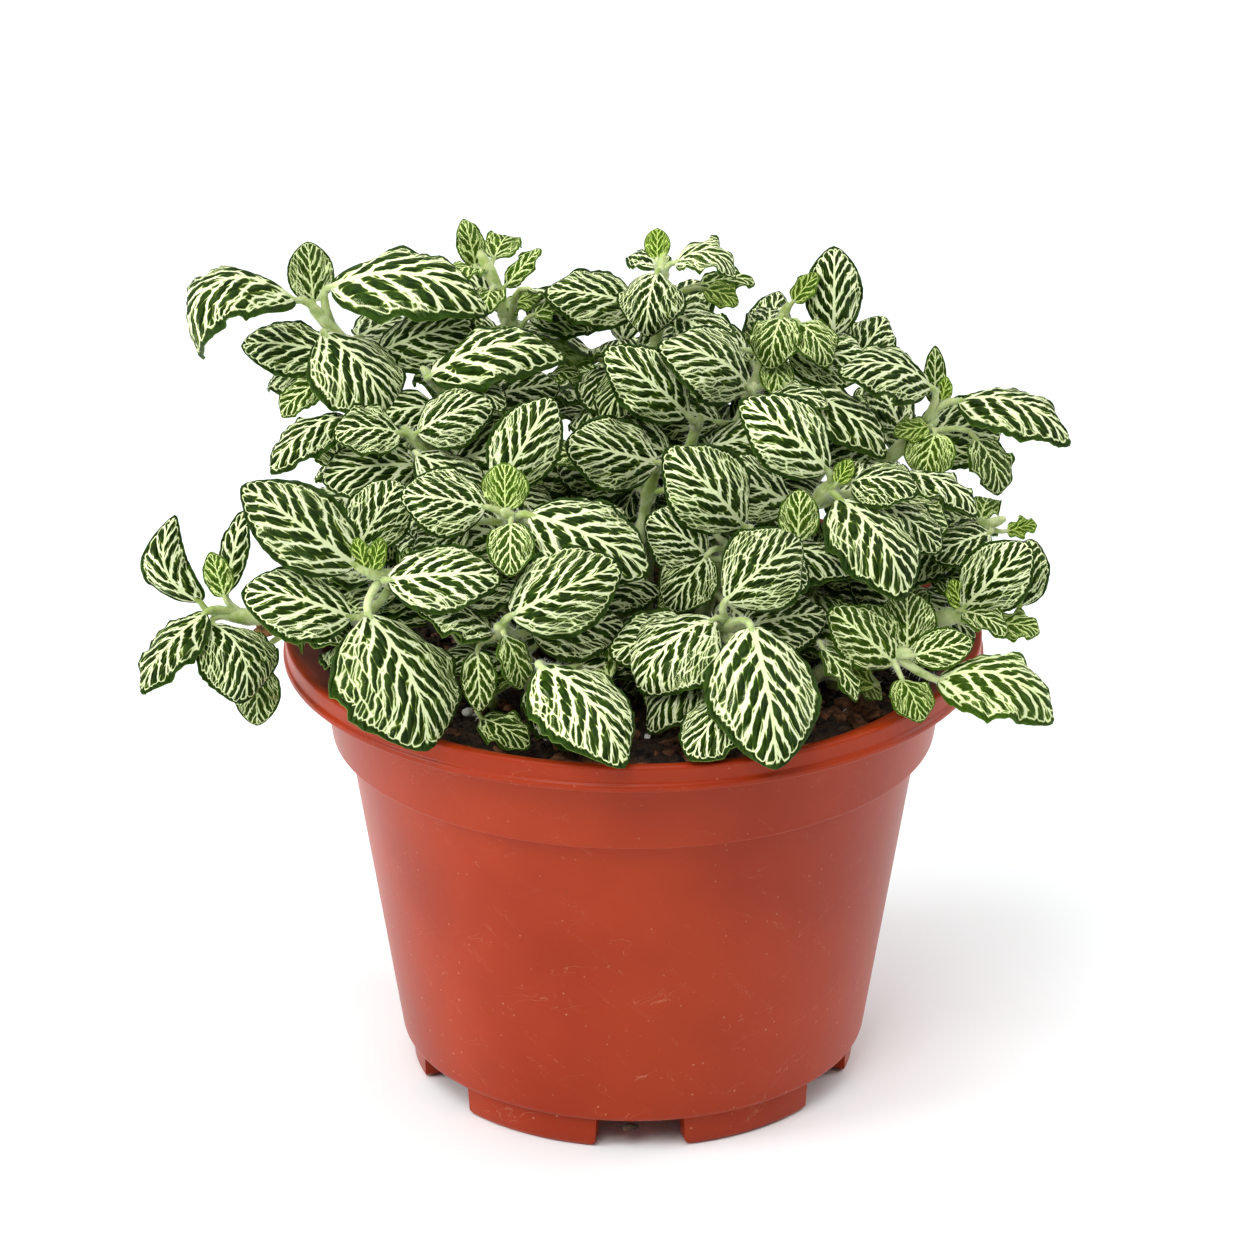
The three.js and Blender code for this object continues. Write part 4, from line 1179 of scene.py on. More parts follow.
class GeometryTree(NodeMaker):
    """A geometry node tree with named inputs."""

    PREFIX = "GeometryNode"
    KINDS = {float: "NodeSocketFloat", int: "NodeSocketInt", Material: "NodeSocketMaterial"}
    TILT = 0.5

    def __init__(self, name: str, **inputs: type) -> None:
        """Starts the tree.

        Args:
            name: The tree's name.
            **inputs: The type of each named input.
        """
        super().__init__(bpy.data.node_groups.new(name, "GeometryNodeTree"))
        face = self.tree.interface
        face.new_socket("Geometry", in_out="INPUT", socket_type="NodeSocketGeometry")
        face.new_socket("Geometry", in_out="OUTPUT", socket_type="NodeSocketGeometry")
        self.identifiers = {}
        for key, kind in inputs.items():
            socket = face.new_socket(key, in_out="INPUT", socket_type=self.KINDS[kind])
            self.identifiers[key] = socket.identifier
        self.source = self.tree.nodes.new("NodeGroupInput").outputs
        self.sink = self.tree.nodes.new("NodeGroupOutput").inputs

    def finish(self, geometry: Socket) -> None:
        """Ends the tree: instances are made real and the material is set.

        Args:
            geometry: What the tree has made.
        """
        real = self.node("RealizeInstances", {0: geometry})
        dressed = self.node("SetMaterial", {"Geometry": real.outputs[0], "Material": self.source["Finish"]})
        smooth = self.node("SetShadeSmooth", {"Geometry": dressed.outputs[0]})
        self.tree.links.new(smooth.outputs[0], self.sink[0])

    def spots(self) -> Node:
        """Random points on the incoming surface, by the inputs Density and Seed."""
        names = {"Mesh": "Geometry", "Density": "Density", "Seed": "Seed"}
        return self.node("DistributePointsOnFaces", {key: self.source[name] for key, name in names.items()})

    def turn(self) -> Socket:
        """A random turn, with a small tilt."""
        ends = {0: (-self.TILT, -self.TILT, 0.0), 1: (self.TILT, self.TILT, FULL_TURN)}
        return self.node("FunctionNodeRandomValue", ends, data_type="FLOAT_VECTOR").outputs[0]

    def copies(self, spots: Node, thing: Socket, turn: Socket, sizes: dict) -> Socket:
        """Turned copies of a thing on points, each of its own size.

        Args:
            spots: The node of the points.
            thing: What is copied.
            turn: Each copy's turn.
            sizes: The inputs that each size is drawn by.

        Returns:
            The copies.
        """
        size = self.node("FunctionNodeRandomValue", sizes, data_type="FLOAT").outputs[1]
        inputs = {0: spots.outputs["Points"], "Instance": thing, "Rotation": turn, "Scale": size}
        return self.node("InstanceOnPoints", inputs).outputs[0]

    def mesh(self, thing: Object, **values: object) -> Mesh:
        """Runs the tree on an object.

        Args:
            thing: The object, which keeps no modifier.
            **values: The value of each named input.

        Returns:
            The result as a plain mesh.
        """
        modifier = thing.modifiers.new("tree", "NODES")
        modifier.node_group = self.tree
        for key, value in values.items():
            modifier[self.identifiers[key]] = value
        view = bpy.context.evaluated_depsgraph_get()
        mesh = bpy.data.meshes.new_from_object(thing.evaluated_get(view))
        thing.modifiers.remove(modifier)
        return mesh


def wire(tree: NodeTree, node: Node, inputs: dict) -> None:
    """Sets a node's inputs: a socket is linked and any other value is set.

    Args:
        tree: The node's tree.
        node: The node.
        inputs: Sockets or values by the input's name or number.
    """
    for key, value in inputs.items():
        if isinstance(value, Socket):
            tree.links.new(value, node.inputs[key])
        else:
            node.inputs[key].default_value = value


def tube_tree() -> GeometryTree:
    """The tree that gives a curve a round skin of its own radius at each point.

    Returns:
        The tree.
    """
    tree = GeometryTree("tube_along_path", Sides=int, Finish=Material)
    ring = tree.node("CurvePrimitiveCircle", {"Resolution": tree.source["Sides"], "Radius": 1.0})
    skin = tree.node("CurveToMesh", {
        "Curve": tree.source["Geometry"], "Profile Curve": ring.outputs[0],
        "Scale": tree.node("InputRadius").outputs[0], "Fill Caps": True,
    })
    tree.finish(skin.outputs[0])
    return tree


def hair_tree() -> GeometryTree:
    """The tree that covers a surface with short tapered hairs.

    Returns:
        The tree.
    """
    tree = GeometryTree(
        "hairs_on_surface", Density=float, Length=float, Thickness=float, Seed=int, Finish=Material
    )
    spots = tree.spots()
    thick, long = tree.source["Thickness"], tree.source["Length"]
    cone = {"Vertices": 3, "Radius Top": 0.0, "Radius Bottom": thick, "Depth": long}
    hair = tree.node("MeshCone", cone, fill_type="NONE")
    turns = {"Rotation": spots.outputs["Rotation"], "Rotate By": tree.turn()}
    turned = tree.node("FunctionNodeRotateRotation", turns, rotation_space="LOCAL")
    sizes = {2: 0.45, 3: 1.25, "Seed": 3}
    tree.finish(tree.copies(spots, hair.outputs["Mesh"], turned.outputs[0], sizes))
    return tree


def grain_tree() -> GeometryTree:
    """The tree that scatters rough grains, each of its own shape, on a surface.

    Returns:
        The tree.
    """
    tree = GeometryTree(
        "grains_on_surface", Density=float, Smallest=float, Largest=float, Length=float,
        Roughness=float, Fineness=int, Seed=int, Finish=Material,
    )
    spots = tree.spots()
    ball = tree.node("MeshIcoSphere", {"Radius": 0.5, "Subdivisions": tree.source["Fineness"]})
    shape = tree.node("ShaderNodeCombineXYZ", {0: tree.source["Length"], 1: 1.0, 2: 0.6})
    grain = tree.node("Transform", {"Geometry": ball.outputs[0], "Scale": shape.outputs[0]})
    sizes = {2: tree.source["Smallest"], 3: tree.source["Largest"], "Seed": 5}
    real = tree.node("RealizeInstances", {0: tree.copies(spots, grain.outputs[0], tree.turn(), sizes)})
    place = tree.node("InputPosition").outputs[0]
    rough = tree.node("ShaderNodeTexNoise", {"Vector": place, "Scale": 1400.0, "Detail": 3.0}).outputs[1]
    centred = tree.node("ShaderNodeVectorMath", {0: rough, 1: (0.5, 0.5, 0.5)}, operation="SUBTRACT")
    scale = {0: centred.outputs[0], "Scale": tree.source["Roughness"]}
    shift = tree.node("ShaderNodeVectorMath", scale, operation="SCALE")
    bent = tree.node("SetPosition", {"Geometry": real.outputs[0], "Offset": shift.outputs[0]})
    tree.finish(bent.outputs[0])
    return tree


class ShaderTree(NodeMaker):
    """A shader tree, with its common steps."""

    PREFIX = "ShaderNode"

    def math(self, operation: str, *values: Value) -> Socket:
        """One arithmetic step on sockets or numbers."""
        return self.node("Math", dict(enumerate(values)), operation=operation).outputs[0]

    def plus(self, first: Value, second: Value) -> Socket:
        """The sum of two values."""
        return self.math("ADD", first, second)

    def minus(self, first: Value, second: Value) -> Socket:
        """What a value is above another."""
        return self.math("SUBTRACT", first, second)

    def times(self, first: Value, second: Value) -> Socket:
        """The product of two values."""
        return self.math("MULTIPLY", first, second)

    def scaled(self, value: Value, factor: Value, start: Value) -> Socket:
        """A value times a factor, on top of a start."""
        return self.math("MULTIPLY_ADD", value, factor, start)

    def ramp(self, value: Value, low: float, high: float, start: float = 0, end: float = 1) -> Socket:
        """A smooth step of a value from one range to another.

        Args:
            value: The socket.
            low: The value where the step starts.
            high: The value where it ends.
            start: The result before the step.
            end: The result after it.

        Returns:
            The socket of the result.
        """
        return self.line(value, low, high, start, end, interpolation_type="SMOOTHSTEP")

    def line(self, value: Value, *ends: float, **settings: str) -> Socket:
        """A clamped change of a value from one range, low and high, to another, start and end."""
        names = ("Value", "From Min", "From Max", "To Min", "To Max")
        return self.node("MapRange", dict(zip(names, (value, *ends))), **settings).outputs[0]

    def mix(self, share: Value, first: tuple | Socket, second: tuple | Socket) -> Socket:
        """A colour between two others."""
        return self.node("Mix", {0: share, 6: first, 7: second}, data_type="RGBA").outputs[2]

    def noise(self, vector: Socket, scale: float, detail: float, roughness: float = 0.5) -> Socket:
        """Noise between about 0 and 1 at a scale."""
        inputs = {"Vector": vector, "Scale": scale, "Detail": detail, "Roughness": roughness}
        return self.node("TexNoise", inputs).outputs[0]

    def value(self, name: str) -> Socket:
        """A value of the mesh by its name."""
        return self.node("Attribute", attribute_name=name).outputs["Fac"]


def rgb(red: float, green: float, blue: float) -> tuple[float, float, float, float]:
    """A linear colour with full alpha."""
    return (red, green, blue, 1.0)


@dataclass(frozen=True)
class VeinNet:
    """The net of veins on a leaf, mostly in shares of the leaf's length.

    A side vein's width has where it is least, and its two ends. Boldness, rib and hem place each have
    a gain and a start. A link has where it fades, and its width near a vein and far from one.
    """

    width: tuple = (0.3, 0.0104, 0.0038)
    boldness: tuple = (0.45, 0.6)
    rib: tuple = (0.014, 0.005)
    wander: float = 0.32
    wander_scale: float = 15.0
    swing_from: tuple = (0.06, 0.2)
    swing_turns: tuple = (34.0, 5)
    blends: tuple = (0.008, 0.016, 0.004, 0.005)
    fan_blend: float = 0.02
    cell_rows: float = 16.0
    link: tuple = (0.034, 0.0064, -0.0032)
    link_scale: float = 0.058
    hem_place: tuple = (0.04, 0.034)
    hem_scale: float = 9.0
    hem_follow: tuple = (0.9, 0.02)
    hem: float = 0.0055
    bare_margin: float = 0.007
    ragged: float = 0.004
    ragged_scale: float = 50.0
    edge: tuple = (-0.0028, 0.0004)
    midrib_reach: float = 0.05
    margin_reach: float = 0.045

    @functools.lru_cache
    def build(self) -> NodeTree:
        """Makes the shader group, from a leaf's own map and values.

        Returns:
            The group. It gives how much of a vein a point is, how far it is from the nearest one,
            and how near it is to the midrib and to the margin.
        """
        tree = bpy.data.node_groups.new("vein_net", "ShaderNodeTree")
        for name in ("Vein", "Distance", "Midrib", "Margin"):
            tree.interface.new_socket(name, in_out="OUTPUT", socket_type="NodeSocketFloat")
        s = ShaderTree(tree)
        sink = tree.nodes.new("NodeGroupOutput")
        place = s.node("SeparateXYZ", {0: s.node("UVMap", uv_map="leaf").outputs[0]})
        x, y = place.outputs[0], place.outputs[1]
        chance, vigour_and_shade, rim, veins = (s.value(name) for name in ("chance", "vigour_and_shade", "rim", "veins"))
        away = s.math("ABSOLUTE", x)
        side = s.math("SIGN", x)
        shifted = s.node("CombineXYZ", {0: x, 1: y, 2: s.times(chance, 40.0)}).outputs[0]

        straight = s.times(away, VEIN_SLOPE)
        bend = s.scaled(s.times(away, away), VEIN_CURVE, straight)
        start = s.math("DIVIDE", s.minus(y, bend), s.scaled(away, VEIN_STEEPENING, 1.0))
        core = s.plus(away, FAN_CORE)
        fan = s.math("DIVIDE", s.times(s.math("MINIMUM", start, 0.0), FAN_VEINS), core)
        warp = 0.0
        for size, up, across, own in reversed(VEIN_WARPS):
            turn = s.scaled(y, up, s.scaled(x, across, s.times(chance, own)))
            warp = s.scaled(s.math("SINE", turn), size, warp)
        count = s.scaled(s.math("MAXIMUM", start, 0.0), veins, fan)
        count = s.scaled(side, VEIN_STAGGER, s.plus(count, warp))
        count = s.scaled(chance, VEIN_SHIFT, count)
        stray = s.minus(s.noise(shifted, self.wander_scale, 1.0), 0.5)
        count = s.scaled(stray, self.wander, count)
        spacing = s.times(core, VEIN_SLANT / FAN_VEINS)
        even = s.math("DIVIDE", VEIN_SLANT, veins)
        above = s.ramp(start, -self.fan_blend, self.fan_blend)
        spacing = s.node("Mix", {0: above, 2: spacing, 3: even}).outputs[0]

        number = s.math("FLOOR", count)
        seed = s.node("CombineXYZ", {0: number, 1: side, 2: chance}).outputs[0]
        own = s.node("TexWhiteNoise", {"Vector": seed}, noise_dimensions="3D").outputs[1]
        own = s.node("SeparateXYZ", {0: own}).outputs
        off = s.minus(s.math("FRACT", count), 0.5)
        off = s.times(off, s.math("SIGN", s.minus(own[2], 0.5)))
        # Vigour sets how bold the veins are: each leaf's own boldness, with painted shade thinning them on
        # leaves deep in the foliage.
        bold = s.scaled(vigour_and_shade, *self.boldness)
        thick = s.times(s.line(away, 0.0, *self.width), bold)
        places = []
        joined = 1.0
        branch = 1.0
        swing = s.ramp(away, *self.swing_from, 0.0, BRANCH_SWING)
        turns, more_turns = self.swing_turns
        branch_blend, rib_blend, link_blend, hem_blend = self.blends
        for order, (origin, fork, delay, shift, width) in enumerate(BRANCHES):
            reach = s.scaled(own[order // 2 + order % 2], -delay, away)
            place = s.line(reach, fork, fork + FORK_LENGTH, 0.0, shift)
            if origin is not None:
                place = s.plus(place, places[origin])
            places.append(place)
            turn = s.times(away, turns + more_turns * order)
            turn = s.scaled(own[(order + 1) % 3], FULL_TURN, turn)
            place = s.scaled(s.math("SINE", turn), swing, place)
            gap = s.times(s.math("ABSOLUTE", s.minus(off, place)), spacing)
            branch = s.math("MINIMUM", branch, gap)
            joined = s.math("SMOOTH_MIN", joined, s.scaled(thick, -width, gap), branch_blend)

        rib = s.scaled(s.minus(1.0, y), *self.rib)
        rib = s.minus(away, s.times(rib, bold))
        joined = s.math("SMOOTH_MIN", joined, rib, rib_blend)

        cell = s.node("CombineXYZ", {
            0: s.plus(count, s.times(chance, 100.0)),
            1: s.scaled(away, self.cell_rows, s.times(side, 31.0)),
        }).outputs[0]
        cells = {"Vector": cell, "Scale": 1.0, "Randomness": 0.8}
        net = s.node("TexVoronoi", cells, feature="DISTANCE_TO_EDGE", voronoi_dimensions="2D").outputs[0]
        link = s.line(joined, 0.0, *self.link)
        link = s.minus(s.times(net, self.link_scale), s.times(link, bold))
        joined = s.math("SMOOTH_MIN", joined, link, link_blend)

        hem = s.scaled(s.noise(shifted, self.hem_scale, 1.0), *self.hem_place)
        follow, furthest = self.hem_follow
        hem = s.minus(hem, s.math("MINIMUM", s.times(branch, follow), furthest))
        line = s.minus(s.math("ABSOLUTE", s.minus(rim, hem)), s.times(bold, self.hem))
        joined = s.math("SMOOTH_MIN", joined, line, hem_blend)
        rough = s.noise(shifted, self.ragged_scale, 1.0)
        joined = s.scaled(s.minus(rough, 0.5), self.ragged, joined)
        joined = s.math("MAXIMUM", joined, s.minus(s.minus(hem, self.bare_margin), rim))
        wire(tree, sink, {
            "Vein": s.ramp(joined, *self.edge, 1.0, 0.0),
            "Distance": joined,
            "Midrib": s.ramp(away, 0.0, self.midrib_reach, 1.0, 0.0),
            "Margin": s.ramp(rim, 0.0, self.margin_reach, 1.0, 0.0),
        })
        return tree


VEIN_NET = VeinNet()


def material(name: str) -> tuple[Material, ShaderTree, Node]:
    """A new material with its tree and its surface shader.

    Args:
        name: The material's name.

    Returns:
        The material, its tree and the shader node.
    """
    made = bpy.data.materials.new(name)
    made.use_nodes = True
    return made, ShaderTree(made.node_tree), made.node_tree.nodes["Principled BSDF"]


@dataclass(frozen=True)
class LeafFinish:
    """The look of one face of the leaves."""

    name: str
    dark: tuple
    light: tuple
    young: tuple
    halo: tuple
    vein: tuple
    young_vein: tuple
    # The vein colour of leaves deep in the foliage: painted shade.
    shaded_vein: tuple
    contrast: float
    roughness: float
    mottle_scale: float = 500.0
    pebble_scale: float = 3800.0
    pebble: float = 0.12
    bump_depth: float = 0.0009

    def build(self) -> Material:
        """Makes the material.

        Returns:
            The material.
        """
        made, s, shader = material(self.name)
        veins = s.node("Group", node_tree=VEIN_NET.build())
        vein, gap, midrib, margin = (veins.outputs[i] for i in range(4))
        place = s.node("TexCoord").outputs["Object"]
        youth, vigour_and_shade, chance = s.value("youth"), s.value("vigour_and_shade"), s.value("chance")
        mottle = s.noise(place, self.mottle_scale, 4.0, 0.6)
        green = s.mix(s.ramp(mottle, 0.3, 0.75), rgb(*self.dark), rgb(*self.light))
        # Paler green along the margin: a painted highlight on the leaf's edge.
        green = s.mix(s.times(margin, 0.35), green, rgb(*self.light))
        green = s.mix(s.times(youth, 0.85), green, rgb(*self.young))
        # Veins dim towards the shaded vein colour as vigour drops: painted shade on leaves deep in the
        # foliage.
        pale = s.mix(s.ramp(vigour_and_shade, 0.25, 0.75), rgb(*self.shaded_vein), rgb(*self.vein))
        soft = s.ramp(gap, -0.0075, -0.0005, 0.0, 0.6)
        pale = s.mix(s.math("MAXIMUM", s.times(midrib, 0.35), soft), pale, rgb(*self.young_vein))
        pale = s.mix(youth, pale, rgb(*self.young_vein))
        halo = s.times(s.ramp(gap, -0.002, 0.0045, 1.0, 0.0), 0.75)
        green = s.mix(halo, green, rgb(*self.halo))
        colour = s.mix(s.times(vein, self.contrast), green, pale)
        fade = s.node("HueSaturation", {
            "Value": s.scaled(chance, 0.3, 0.85), "Color": colour,
        }).outputs[0]
        height = s.ramp(gap, 0.0, 0.028)
        pebble = s.times(s.noise(place, self.pebble_scale, 2.0), self.pebble)
        height = s.plus(height, pebble)
        bump = s.node("Bump", {"Strength": 0.9, "Distance": self.bump_depth, "Height": height})
        rough = s.scaled(mottle, 0.18, self.roughness)
        wire(s.tree, shader, {
            "Base Color": fade, "Roughness": rough, "Normal": bump.outputs[0], "Specular IOR Level": 0.1,
            "Subsurface Weight": 0.08, "Subsurface Radius": (0.6, 1.0, 0.3), "Subsurface Scale": 0.0012,
        })
        return made


LEAF_TOP = LeafFinish(
    name="leaf_top",
    dark=(0.009, 0.026, 0.001),
    light=(0.028, 0.066, 0.003),
    young=(0.13, 0.27, 0.01),
    halo=(0.16, 0.23, 0.012),
    vein=(0.79, 0.83, 0.60),
    young_vein=(0.58, 0.74, 0.18),
    shaded_vein=(0.34, 0.44, 0.19),
    contrast=1.0,
    roughness=0.36,
)
LEAF_UNDER = LeafFinish(
    name="leaf_under",
    dark=(0.09, 0.16, 0.02),
    light=(0.15, 0.24, 0.04),
    young=(0.20, 0.36, 0.04),
    halo=(0.22, 0.31, 0.07),
    vein=(0.50, 0.58, 0.26),
    young_vein=(0.48, 0.62, 0.18),
    shaded_vein=(0.32, 0.40, 0.14),
    contrast=0.7,
    roughness=0.5,
)


@dataclass(frozen=True)
class SkinFinish:
    """A mottled finish between two colours, with a fine bump."""

    name: str
    dark: tuple
    light: tuple
    scale: float
    roughness: float
    bump: float
    specular: float = 0.3
    glow: float = 0.0
    fuzz: float = 0.0

    def build(self) -> Material:
        """Makes the material.

        Returns:
            The material.
        """
        made, s, shader = material(self.name)
        place = s.node("TexCoord").outputs["Object"]
        mottle = s.noise(place, self.scale, 4.0, 0.6)
        colour = s.mix(s.ramp(mottle, 0.32, 0.7), rgb(*self.dark), rgb(*self.light))
        fine = s.noise(place, self.scale * 4, 3.0)
        bump = s.node("Bump", {"Strength": 0.6, "Distance": self.bump * MM, "Height": fine})
        wire(s.tree, shader, {
            "Base Color": colour, "Normal": bump.outputs[0], "Roughness": self.roughness,
            "Specular IOR Level": self.specular, "Subsurface Weight": self.glow, "Subsurface Scale": 0.001,
            "Sheen Weight": self.fuzz, "Sheen Roughness": 0.4,
        })
        return made


STEM_SKIN = SkinFinish(
    "stem_skin", (0.26, 0.36, 0.07), (0.60, 0.68, 0.34), 260.0, 0.55, 0.15, 0.25, 0.15, 0.5
)
HAIR = SkinFinish("stem_hair", (0.60, 0.64, 0.52), (0.85, 0.87, 0.78), 300.0, 0.6, 0.0)
PEAT = SkinFinish("peat", (0.008, 0.005, 0.004), (0.065, 0.036, 0.020), 420.0, 0.9, 0.8)
BARK = SkinFinish("bark", (0.05, 0.02, 0.010), (0.26, 0.11, 0.05), 700.0, 0.85, 0.6)
PERLITE = SkinFinish("perlite", (0.62, 0.60, 0.55), (0.88, 0.87, 0.83), 900.0, 0.8, 0.4)
MOSS = SkinFinish("moss", (0.07, 0.09, 0.015), (0.26, 0.26, 0.06), 600.0, 0.8, 0.3)
HUSK = SkinFinish("dry_husk", (0.20, 0.07, 0.03), (0.45, 0.24, 0.10), 800.0, 0.8, 0.5)


@dataclass(frozen=True)
class PotPlastic:
    """Satin terracotta-coloured plastic with scratches and specks, and dark blotches inside the rim: soil
    smears with painted shade.
    """

    centre: tuple
    deep: tuple = (0.27, 0.021, 0.002)
    bright: tuple = (0.35, 0.033, 0.005)
    dust: tuple = (0.56, 0.24, 0.14)
    dirt_and_shade: tuple = (0.09, 0.040, 0.022)
    cloud_scale: float = 28.0
    scuffs: tuple = (110.0, 0.35)
    fine_scratches: tuple = (190.0, -0.8)
    speck_scale: float = 560.0
    wall_slope: float = 0.149
    wall_foot: float = 0.0426
    inner_soil_and_shade_heights: tuple = (0.0635, 0.064)
    inner_soil_and_shade_scale: float = 260.0
    grain_scale: float = 900.0

    def build(self) -> Material:
        """Makes the material.

        Returns:
            The material.
        """
        made, s, shader = material("pot_plastic")
        place = s.node("TexCoord").outputs["Object"]
        across = s.node("SeparateXYZ", {0: place})
        x = s.minus(across.outputs[0], self.centre[0] * MM)
        y = s.minus(across.outputs[1], self.centre[1] * MM)
        z = across.outputs[2]
        angle = s.math("ARCTAN2", x, s.times(y, -1.0))
        radius = s.math("SQRT", s.plus(s.times(x, x), s.times(y, y)))
        cloud = s.noise(place, self.cloud_scale, 3.0)
        base = s.mix(s.ramp(cloud, 0.3, 0.7), rgb(*self.deep), rgb(*self.bright))

        scuffs = self.scratches(s, angle, z, *self.scuffs)
        fine = self.scratches(s, angle, z, *self.fine_scratches)
        low = s.ramp(z, 0.0, 0.07, 1.0, 0.35)
        marks = s.times(s.math("MAXIMUM", scuffs, fine), low)
        specks = s.node("TexVoronoi", {"Vector": place, "Scale": self.speck_scale}, feature="F1").outputs
        kinds = s.node("SeparateXYZ", {0: specks[1]}).outputs
        small = s.ramp(specks[0], 0.05, 0.15, 1.0, 0.0)
        dots = s.times(s.times(small, s.ramp(kinds[0], 0.62, 0.68)), low)
        pits = s.ramp(kinds[1], 0.985, 0.99)
        pits = s.times(pits, s.ramp(specks[0], 0.07, 0.13, 1.0, 0.0))
        colour = s.mix(s.times(marks, 0.5), base, rgb(*self.dust))
        colour = s.mix(s.times(dots, 0.8), colour, rgb(*self.dust))
        colour = s.mix(s.times(pits, 0.7), colour, rgb(*self.dirt_and_shade))
        # The inside of the wall above the step gets dark blotches: soil smears together with painted shade
        # under the rim and the foliage.
        skin = s.scaled(z, self.wall_slope, self.wall_foot)
        within = s.ramp(s.minus(skin, radius), 0.0, 0.0006)
        inside = s.times(within, s.ramp(z, *self.inner_soil_and_shade_heights))
        inner_soil_and_shade = s.ramp(s.noise(place, self.inner_soil_and_shade_scale, 3.0), 0.3, 0.6, 0.45, 1.0)
        inner_soil_and_shade = s.times(inside, inner_soil_and_shade)
        colour = s.mix(inner_soil_and_shade, colour, rgb(*self.dirt_and_shade))
        rough = s.scaled(cloud, 0.12, 0.30)
        rough = s.plus(rough, s.times(marks, 0.2))
        grain = s.times(s.noise(place, self.grain_scale, 2.0), 0.25)
        height = s.minus(grain, s.times(marks, 0.6))
        bump = s.node("Bump", {"Strength": 0.25, "Distance": 0.0002, "Height": height})
        wire(s.tree, shader, {
            "Base Color": colour, "Roughness": rough, "Normal": bump.outputs[0], "Specular IOR Level": 0.18,
        })
        return made

    @staticmethod
    def scratches(s: ShaderTree, angle: Value, z: Value, scale: float, slant: float) -> Socket:
        """Broken hair-thin scratches that run mostly along one slanted direction.

        Args:
            s: The tree.
            angle: The bearing round the pot.
            z: The height.
            scale: How many there are.
            slant: How steeply they run.

        Returns:
            The socket that is 1 on a scratch.
        """
        around = s.times(angle, 0.05)
        u = s.scaled(z, slant, around)
        v = s.scaled(around, -slant, z)
        stretched = s.node("CombineXYZ", {0: s.times(u, 0.22), 1: v}).outputs[0]
        lines = s.noise(stretched, scale * 3, 2.0)
        ridge = s.ramp(s.math("ABSOLUTE", s.minus(lines, 0.5)), 0.0, 0.006, 1.0, 0.0)
        patches = s.ramp(s.noise(stretched, scale * 1.7, 1.0), 0.56, 0.64)
        return s.times(ridge, patches)


